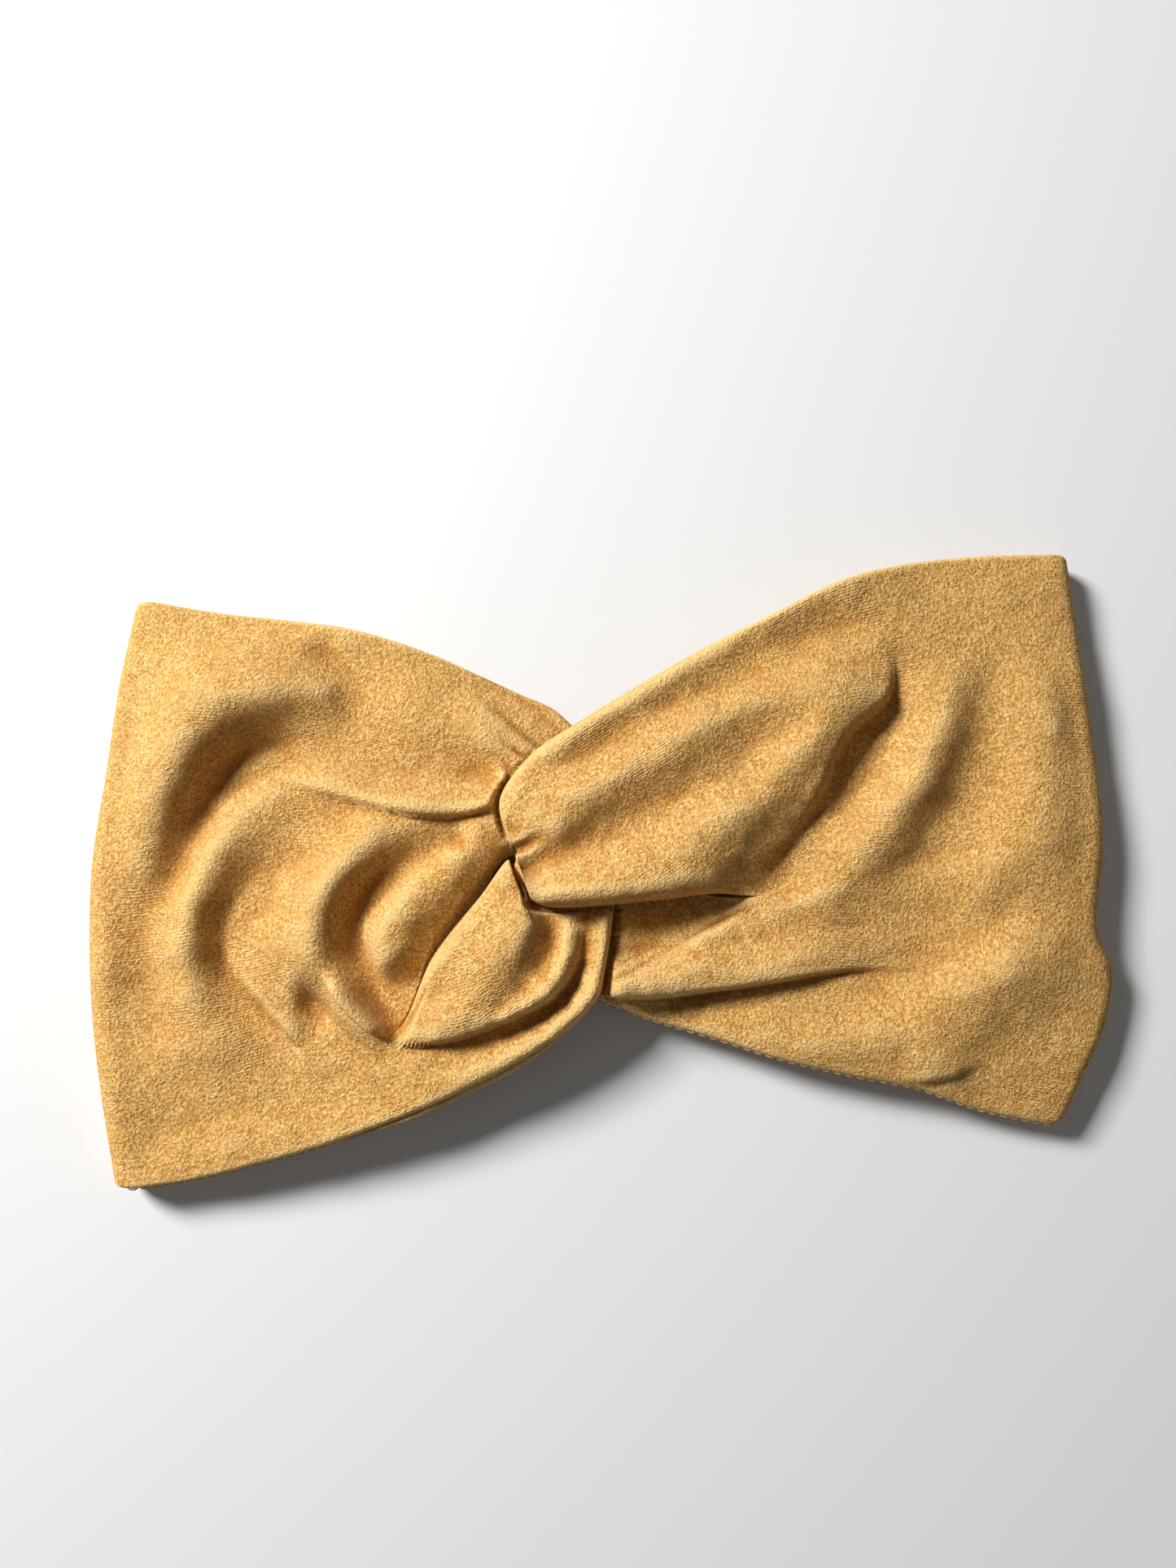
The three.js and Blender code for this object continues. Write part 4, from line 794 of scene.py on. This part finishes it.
def grid_mesh(name, band, above, below):
    """The ply as a mesh: front grid, side fold and back, closed round its edges."""
    (top, bottom), rim = ply(band, above, below)
    stations, rows, welded = band.stations, top.shape[1] - 1, band.welded
    ids = np.arange((stations + 1) * (rows + 1)).reshape(stations + 1, rows + 1)
    ids[stations - np.arange(welded + 1), rows] = ids[np.arange(welded + 1), rows]

    # Round the side fold, then along the back; a column for each row of both legs' ends
    columns = 2 * rows
    starts = np.concatenate([ids[0], ids[stations][-2::-1]])
    start = np.concatenate([band.points[0], band.points[stations][-2::-1]])
    rim_start = np.concatenate([rim[0], rim[stations][-2::-1]])
    radius = (start[:, 2] + HALF) / 2
    count = top.shape[0] * top.shape[1]
    rings = [starts]
    tops, bottoms = [top.reshape(-1, 3)], [bottom.reshape(-1, 3)]
    lengthwise, crosswise = band.cloth_places()
    places = [np.stack([lengthwise, crosswise], axis=-1).reshape(-1, 2)]
    crosswise = np.concatenate([crosswise[0], crosswise[stations][-2::-1]])
    place = np.stack([np.zeros(len(start)), crosswise], axis=1)
    before = start
    along = np.concatenate([[0], np.cumsum(np.abs(np.diff(start[:, 1])))])
    along /= along[-1]
    seam_y = SEAM_UPPER + (SEAM_LOWER - SEAM_UPPER) * along
    end_x = SEAM_X + band.side * SEAM_GAP / 2
    for step in range(1, FOLD_STEPS + BACK_STEPS + 1):
        made = []
        for level in (above, below):
            inset = HALF - level * rim_start
            if step <= FOLD_STEPS:
                angle = math.pi * step / FOLD_STEPS
                x = start[:, 0] + band.side * (radius - inset) * math.sin(angle)
                y = start[:, 1]
                z = radius + (radius - inset) * math.cos(angle)
            else:
                share = (step - FOLD_STEPS) / BACK_STEPS
                x = start[:, 0] + (end_x - start[:, 0]) * share
                y = start[:, 1] + (seam_y - start[:, 1]) * share
                wave = np.sin(y * 2 * math.pi / GATHER_PITCH + np.sin(y / GATHER_DRIFT))
                z = inset + GATHER_RISE * share ** 2 * (1 + wave)
            made.append(np.stack([x, y, z], axis=1))
        place = place.copy()
        place[:, 0] -= np.linalg.norm(made[0] - before, axis=1)
        before = made[0]
        places.append(place)
        tops.append(made[0])
        bottoms.append(made[1])
        rings.append(count + np.arange(columns + 1))
        count += columns + 1
    tops, bottoms = np.vstack(tops), np.vstack(bottoms)
    rings = np.array(rings)

    def cells(grid):
        corners = grid[:-1, :-1], grid[:-1, 1:], grid[1:, 1:], grid[1:, :-1]
        return np.stack(corners, axis=-1).reshape(-1, 4)

    quads = np.vstack([cells(ids), cells(rings)[:, ::-1]])
    below_quads = quads[:, ::-1] + count
    edges = np.stack([quads, np.roll(quads, -1, axis=1)], axis=-1).reshape(-1, 2)
    keys, back_keys = edges[:, 0] * count + edges[:, 1], edges[:, 1] * count + edges[:, 0]
    open_edges = edges[~np.isin(keys, back_keys)]
    from_edge, to_edge = open_edges.T
    walls = np.stack([from_edge, from_edge + count, to_edge + count, to_edge], axis=1)
    faces = np.vstack([quads, below_quads, walls])
    if band.side > 0:
        faces = faces[:, ::-1]
    verts = np.vstack([tops, bottoms])
    used, faces = np.unique(faces, return_inverse=True)
    faces = faces.reshape(-1, 4)
    mesh = bpy.data.meshes.new(name)
    mesh.from_pydata((verts[used] * MM).tolist(), [], faces.tolist())
    mesh.polygons.foreach_set("use_smooth", np.ones(len(mesh.polygons), bool))
    corner = np.empty(len(mesh.loops), int)
    mesh.loops.foreach_get("vertex_index", corner)
    places = np.vstack(places)
    centimetres = places[used[corner] % len(places)] / 10.0
    mesh.uv_layers.new(name="cloth").data.foreach_set("uv", centimetres.ravel())
    crest = np.full(len(places), 0.5)
    crest[:band.points[..., 2].size] = band.crests().ravel()
    sharpness = mesh.attributes.new("crest", "FLOAT", "POINT")
    sharpness.data.foreach_set("value", crest[used % len(places)])
    mesh.update()
    piece = bpy.data.objects.new(name, mesh)
    bpy.context.collection.objects.link(piece)
    print(name, len(mesh.polygons) * 2, "triangles")
    return piece


pieces = {}
for name, band in bands.items():
    pieces[f"{name}_outer_ply"] = grid_mesh(f"{name}_outer_cloth", band, HALF, HALF - CLOTH)
    pieces[f"{name}_lining"] = grid_mesh(f"{name}_lining_cloth", band, CLOTH - HALF, -HALF)

# %% [markdown]
# ## Does the cloth pass through itself?
#
# Two sheets of real cloth can touch but never share a place. A tree of boxes round the faces finds crossing
# pairs quickly, so the bands and their plies are tested against one another as soon as they are built. The
# two bands stay clear of each other. The two plies of one band don't everywhere: most of their crossings are
# in the tight bends at the knot and along the lower left edge, and a few are in creases of the open cloth.
# That is a known fault of these sheets.

# %% Crossing test
trees = {
    node: BVHTree.FromPolygons(
        [tuple(v.co) for v in piece.data.vertices], [tuple(f.vertices) for f in piece.data.polygons]
    )
    for node, piece in pieces.items()
}
names = sorted(trees)
for n, one in enumerate(names):
    for other in names[n + 1:]:
        crossing = trees[one].overlap(trees[other])
        some = crossing[::max(1, len(crossing) // 4)][:4]
        spots = [pieces[one].data.polygons[first].center for first, _ in some]
        spots = [tuple(round(c / MM, 1) for c in spot) for spot in spots]
        print(one, "and", other, "cross at", len(crossing), "pairs of faces", spots)

# %% [markdown]
# ## Shader sums as plain arithmetic
#
# A finish is easiest to read as a formula, so a small class wraps a socket and turns +, - and * into Math
# nodes. Every other node comes from one method, which sets the node up and then fills its sockets.

# %% Shader helpers


class Wire:
    """A number or colour on its way through a material."""

    def __init__(self, finish, socket):
        self.finish, self.socket = finish, socket

    def math(self, operation, *values):
        return self.finish.node("ShaderNodeMath", {"operation": operation}, dict(enumerate(values)))

    def __add__(self, other):
        return self.math("ADD", self, other)

    def __sub__(self, other):
        return self.math("SUBTRACT", self, other)

    def __rsub__(self, other):
        return self.math("SUBTRACT", other, self)

    def __mul__(self, other):
        return self.math("MULTIPLY", self, other)

    __radd__, __rmul__ = __add__, __mul__


class Finish:
    """One material, built node by node."""

    def __init__(self, name, constants):
        self.material = bpy.data.materials.new(name)
        self.material.use_nodes = True
        self.nodes, self.links = self.material.node_tree.nodes, self.material.node_tree.links
        self.shader = self.nodes["Principled BSDF"]
        for socket, value in constants.items():
            self.shader.inputs[socket].default_value = value

    def node(self, kind, settings, sockets, output=0):
        """Adds a node: its settings first, then a value or a link for each socket."""
        made = self.nodes.new(kind)
        for key, value in settings.items():
            setattr(made, key, value)
        for key, value in sockets.items():
            self.fill(made.inputs[key], value)
        return Wire(self, made.outputs[output])

    def fill(self, socket, value):
        if isinstance(value, Wire):
            self.links.new(value.socket, socket)
        else:
            socket.default_value = value

    def mix(self, factor, first, second):
        """A colour between two colours."""
        return self.node("ShaderNodeMix", {"data_type": "RGBA"}, {0: factor, 6: first, 7: second}, 2)

    def between(self, value, low, high):
        """0 below low, 1 above high, smooth in between."""
        sockets = {0: value, 1: low, 2: high, 3: 0.0, 4: 1.0}
        return self.node("ShaderNodeMapRange", {"interpolation_type": "SMOOTHSTEP"}, sockets)


print("helpers ready:", Wire.__name__, "and", Finish.__name__)


# %% [markdown]
# ## Brushed knit
#
# The cloth is a stretch knit with a crinkled, brushed face. Seen close up, short bright tufts stand over
# darker hollows, less than a millimetre apart, and the wales of the knit show through where it is pulled
# tight. The nap has no direction to follow, so it is noise in the object's own space, which never
# repeats. The wales do follow the cloth: they are counted across the sheet, in centimetres. The nap
# catches light at a low angle, which is the shader's sheen. The crest attribute paints a highlight on
# brinks, in the bright colour, and painted shade in creases, in a deep crease colour.

# %% Knit finish
TONE_CONTRAST = 5.4
TUFTS, GRAIN, FIBRES = 1350.0, 3200.0, 7500.0
WALE_PITCH_CM = 0.07
RELIEF_DEPTH = 0.55 * MM


def knit(name, crease_shade, dark, body, bright_tuft_and_highlight):
    finish = Finish(name, {
        "Roughness": 0.95,
        "Specular IOR Level": 0.1,
        "Sheen Weight": 0.22,
        "Sheen Roughness": 0.45,
        "Sheen Tint": (1.0, 0.80, 0.45, 1.0),
    })
    place = finish.node("ShaderNodeTexCoord", {}, {}, "Object")
    cloth = finish.node("ShaderNodeUVMap", {"uv_map": "cloth"}, {})
    crest = finish.node("ShaderNodeAttribute", {"attribute_name": "crest"}, {}, "Fac")

    def noise(scale, detail, distortion=0.0, roughness=0.55):
        sockets = {"Scale": scale, "Detail": detail, "Roughness": roughness, "Distortion": distortion}
        return finish.node("ShaderNodeTexNoise", {}, {"Vector": place, **sockets})

    tufts = noise(TUFTS, 2.0, 0.4, 0.6)
    grain = noise(GRAIN, 2.0, 0.3)
    fibres = noise(FIBRES, 2.0)
    across = finish.node("ShaderNodeSeparateXYZ", {}, {0: cloth}, 1)
    turns = (across + (noise(220.0, 2.0) - 0.5) * 0.05) * (2 * math.pi / WALE_PITCH_CM)
    wales = turns.math("SINE", turns)
    taut = finish.between(noise(55.0, 1.0), 0.48, 0.64)
    clouds = noise(90.0, 3.0)
    tone = (tufts * 0.5 + grain * 0.4 + fibres * 0.1 - 0.5) * TONE_CONTRAST + 0.5 + wales * taut * 0.05
    colour = finish.mix(finish.between(tone, -0.1, 0.6), dark, body)
    colour = finish.mix(finish.between(tone, 0.4, 1.1), colour, bright_tuft_and_highlight)
    colour = finish.mix(finish.between(clouds, 0.4, 0.8) * 0.25, colour, dark)
    # Painted highlight: sharp crests are lightened towards the bright colour.
    colour = finish.mix(finish.between(crest, 0.55, 1.0) * 0.6, colour, bright_tuft_and_highlight)
    # Painted shade: creases are darkened towards the deep crease colour.
    colour = finish.mix(finish.between(1 - crest, 0.55, 1.0) * 0.6, colour, crease_shade)
    finish.fill(finish.shader.inputs["Base Color"], colour)
    height = tufts * 1.2 + grain * 0.5 + fibres * 0.12 + wales * taut * 0.08
    bump = finish.node("ShaderNodeBump", {}, {"Strength": 1.0, "Distance": RELIEF_DEPTH, "Height": height})
    finish.fill(finish.shader.inputs["Normal"], bump)
    print(name, len(finish.nodes), "nodes")
    return finish.material


# Each knit's first colour is the painted shade of creases; its last is the tufts' colour and also the
# painted highlight on crests.
outer_knit = knit(
    "outer_knit",
    (0.42, 0.15, 0.015, 1), (0.52, 0.235, 0.045, 1), (0.75, 0.41, 0.112, 1), (0.97, 0.66, 0.275, 1),
)
# Painted shade: the lining uses the outer knit's colours darkened by about an eighth, for the shade on the
# ply beneath.
lining_knit = knit(
    "lining_knit",
    (0.36, 0.13, 0.013, 1), (0.45, 0.205, 0.04, 1), (0.65, 0.36, 0.10, 1), (0.84, 0.56, 0.235, 1),
)
for node, piece in pieces.items():
    piece.data.materials.append(lining_knit if node.endswith("lining") else outer_knit)

# %% [markdown]
# ## Stitches
#
# The tube of each band is closed by a seam along its lower edge, and the four ends meet in the zigzag
# seam at the centre back. Real stitches are loops of thread pulled tight, so each shows as a short arc
# whose ends dive into the cloth. One node tree makes them all: it walks a path, sets a stitch every so
# often, and leans every other one the other way, which makes a running seam or a zigzag of the same
# parts.

# %% Stitch tree
def stitch_tree():
    """The node group that sews a row of stitches along a path."""
    tree = bpy.data.node_groups.new("stitches", "GeometryNodeTree")
    tree.interface.new_socket("Path", in_out="INPUT", socket_type="NodeSocketGeometry")
    for label in ("Spacing", "Length", "Thread radius", "Slant", "Unevenness"):
        tree.interface.new_socket(label, in_out="INPUT", socket_type="NodeSocketFloat")
    tree.interface.new_socket("Seed", in_out="INPUT", socket_type="NodeSocketInt")
    tree.interface.new_socket("Thread", in_out="INPUT", socket_type="NodeSocketMaterial")
    tree.interface.new_socket("Stitches", in_out="OUTPUT", socket_type="NodeSocketGeometry")

    def node(kind, sockets=(), output=0, **settings):
        made = tree.nodes.new(kind)
        for key, value in settings.items():
            setattr(made, key, value)
        for key, value in dict(sockets).items():
            if isinstance(value, bpy.types.NodeSocket):
                tree.links.new(value, made.inputs[key])
            else:
                made.inputs[key].default_value = value
        return made.outputs[output]

    def sum_of(operation, first, second):
        return node("ShaderNodeMath", {0: first, 1: second}, operation=operation)

    given = tree.nodes.new("NodeGroupInput").outputs
    route = node("GeometryNodeMeshToCurve", {"Mesh": given["Path"]})
    spots = node("GeometryNodeResampleCurve", {"Curve": route, "Length": given["Spacing"]}, mode="LENGTH")
    arc = node("GeometryNodeCurvePrimitiveBezierSegment", {
        "Start": (-0.5, 0, -0.16), "Start Handle": (-0.36, 0, 0.09),
        "End Handle": (0.36, 0, 0.09), "End": (0.5, 0, -0.16), "Resolution": 8,
    })
    ring = node("GeometryNodeCurvePrimitiveCircle", {
        "Resolution": 8, "Radius": sum_of("DIVIDE", given["Thread radius"], given["Length"]),
    })
    stitch = node("GeometryNodeCurveToMesh", {"Curve": arc, "Profile Curve": ring, "Fill Caps": True})
    stitch = node("GeometryNodeSetShadeSmooth", {"Geometry": stitch})
    along = node("GeometryNodeInputTangent")
    outward = node("GeometryNodeInputNamedAttribute", {"Name": "outward"}, data_type="FLOAT_VECTOR")
    lying = node("FunctionNodeAlignRotationToVector", {"Vector": along}, axis="X")
    facing = node(
        "FunctionNodeAlignRotationToVector", {"Rotation": lying, "Vector": outward}, axis="Z", pivot_axis="X"
    )
    odd = sum_of("MODULO", node("GeometryNodeInputIndex"), 2.0)
    lean = sum_of("MULTIPLY", given["Slant"], sum_of("SUBTRACT", 1.0, sum_of("MULTIPLY", odd, 2.0)))
    chance = node("FunctionNodeRandomValue", {2: -1.0, 3: 1.0, "Seed": given["Seed"]}, 1, data_type="FLOAT")
    lean = sum_of("ADD", lean, sum_of("MULTIPLY", chance, given["Unevenness"]))
    turn = node("FunctionNodeEulerToRotation", {0: node("ShaderNodeCombineXYZ", {"Z": lean})})
    turned = node("FunctionNodeRotateRotation", {0: facing, 1: turn}, rotation_space="LOCAL")
    row = node("GeometryNodeInstanceOnPoints", {
        "Points": spots, "Instance": stitch, "Rotation": turned, "Scale": given["Length"],
    })
    solid = node("GeometryNodeRealizeInstances", {"Geometry": row})
    solid = node("GeometryNodeSetMaterial", {"Geometry": solid, "Material": given["Thread"]})
    tree.links.new(solid, tree.nodes.new("NodeGroupOutput").inputs["Stitches"])
    return tree


stitches = stitch_tree()
print("stitch tree:", len(stitches.nodes), "nodes,", len(stitches.links), "links")

# %% [markdown]
# ## Sewing
#
# A path in millimetres becomes a row of stitches. The attribute "outward" says which way the thread lies
# off the cloth. The result replaces the path, so that only finished stitches are left.

# %% Seams
EDGE_FROM, EDGE_OFFSET, SEAM_POINTS, SEAM_LIFT = 0.62, 0.25, 40, 0.9


def sewn(name, path, outward, **values):
    """A row of stitches along a path in mm; outward points from the cloth to the thread."""
    mesh = bpy.data.meshes.new(name)
    mesh.from_pydata((path * MM).tolist(), [(n, n + 1) for n in range(len(path) - 1)], [])
    mesh.attributes.new("outward", "FLOAT_VECTOR", "POINT").data.foreach_set("vector", outward.ravel())
    piece = bpy.data.objects.new(name, mesh)
    bpy.context.collection.objects.link(piece)
    modifier = piece.modifiers.new("stitches", "NODES")
    modifier.node_group = stitches
    values = {key.replace("_", " ").capitalize(): value for key, value in values.items()}
    for socket in stitches.interface.items_tree:
        if socket.name in values:
            modifier[socket.identifier] = values[socket.name]
    made = bpy.data.meshes.new_from_object(piece.evaluated_get(bpy.context.evaluated_depsgraph_get()))
    piece.modifiers.remove(modifier)
    piece.data = made
    print(name, len(made.polygons), "faces")
    return piece


thread = Finish("sewing_thread", {"Roughness": 0.7, "Specular IOR Level": 0.3})
place = thread.node("ShaderNodeTexCoord", {}, {}, "Object")
twist = thread.node("ShaderNodeTexNoise", {}, {"Vector": place, "Scale": 5000.0, "Detail": 2.0})
thread_colour = thread.mix(twist, (0.50, 0.26, 0.07, 1), (0.80, 0.52, 0.20, 1))
thread.fill(thread.shader.inputs["Base Color"], thread_colour)

for name, band in bands.items():
    lower_edge = slice(int(EDGE_FROM * band.stations), None)
    edge = band.points[lower_edge, 0].copy()
    outward = edge - band.points[lower_edge, 4]
    outward[:, 2] = 0
    outward /= np.linalg.norm(outward, axis=1, keepdims=True)
    pieces[f"{name}_edge_seam_thread"] = sewn(
        f"{name}_edge_stitches", edge + EDGE_OFFSET * outward, outward, spacing=2.6 * MM, length=2.0 * MM,
        thread_radius=0.17 * MM, slant=0.0, unevenness=0.12, seed=4, thread=thread.material,
    )
seam = np.linspace(SEAM_UPPER - 3.0, SEAM_LOWER + 3.0, SEAM_POINTS)
across, height = np.full(SEAM_POINTS, SEAM_X), np.full(SEAM_POINTS, DOUBLED + SEAM_LIFT)
seam = np.stack([across, seam, height], axis=1)
pieces["back_seam_thread"] = sewn(
    "back_stitches", seam, np.tile([0.0, 0.0, 1.0], (SEAM_POINTS, 1)), spacing=1.6 * MM, length=5.0 * MM,
    thread_radius=0.2 * MM, slant=math.atan(3.0), unevenness=0.05, seed=5, thread=thread.material,
)

# %% [markdown]
# ## Floor, lights and surroundings
#
# One soft lamp stands to the upper left and low enough to shade the folds on their far side. A weak, wide
# one and a dim surrounding lift the shade, so that the creases keep their colour. The surroundings look
# white to the camera and in reflections, and light the cloth much less.

# %% Floor, lights and surroundings
bpy.ops.mesh.primitive_plane_add(size=4.0)
floor = bpy.context.object
floor.name = "pale_floor"
floor_finish = bpy.data.materials.new("pale_floor")
floor_finish.use_nodes = True
floor_finish.node_tree.nodes["Principled BSDF"].inputs["Base Color"].default_value = (0.80, 0.80, 0.79, 1)
floor.data.materials.append(floor_finish)


def lamp(name, place, size, watts):
    light = bpy.data.lights.new(name, "AREA")
    light.size = size
    light.energy = watts
    body = bpy.data.objects.new(name, light)
    bpy.context.collection.objects.link(body)
    body.location = place
    body.rotation_euler = (-body.location).to_track_quat("-Z", "Y").to_euler()
    print(name, "lamp at", place, watts, "W")


lamp("key", (-0.75, 0.54, 0.72), 0.30, 21.5)
lamp("fill", (0.5, -0.4, 1.3), 1.6, 0.3)
world = bpy.data.worlds.new("studio")
bpy.context.scene.world = world
world.use_nodes = True
nodes, links = world.node_tree.nodes, world.node_tree.links
rays = nodes.new("ShaderNodeLightPath")
seen = rays.outputs["Is Camera Ray"]
for ray in ("Is Glossy Ray", "Is Transmission Ray"):
    either = nodes.new("ShaderNodeMath")
    either.operation = "MAXIMUM"
    links.new(seen, either.inputs[0])
    links.new(rays.outputs[ray], either.inputs[1])
    seen = either.outputs[0]
strength = nodes.new("ShaderNodeMapRange")
strength.inputs["To Min"].default_value = 0.06
strength.inputs["To Max"].default_value = 1.0
links.new(seen, strength.inputs["Value"])
nodes["Background"].inputs["Color"].default_value = (1, 1, 1, 1)
links.new(strength.outputs["Result"], nodes["Background"].inputs["Strength"])
bpy.context.scene.view_settings.view_transform = "Standard"

# %% [markdown]
# ## What the pieces are to the library
#
# Nothing turns or slides on a hinge here, so every piece rides the one body, and the CAD part of the same
# name is hidden. Each ply's cloth area, one side of the closed sheet, is printed; it comes from this
# model's own cloth, as no pattern gives it.

# %% What the pieces are
for node, piece in pieces.items():
    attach(piece, "root")
    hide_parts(node)


def cloth_area(piece):
    """Area of one side of a closed sheet, in square metres."""
    return sum(face.area for face in piece.data.polygons) / 2


for name in bands:
    seams = [pieces[f"{name}_edge_seam_thread"]] + [pieces["back_seam_thread"]] * (name == "left_band")
    for part, below, others in (("outer_ply", "lining", seams), ("lining", "outer_ply", [])):
        piece = pieces[f"{name}_{part}"]
        print(piece.name, "cloth area", round(cloth_area(piece), 5), "square metres")
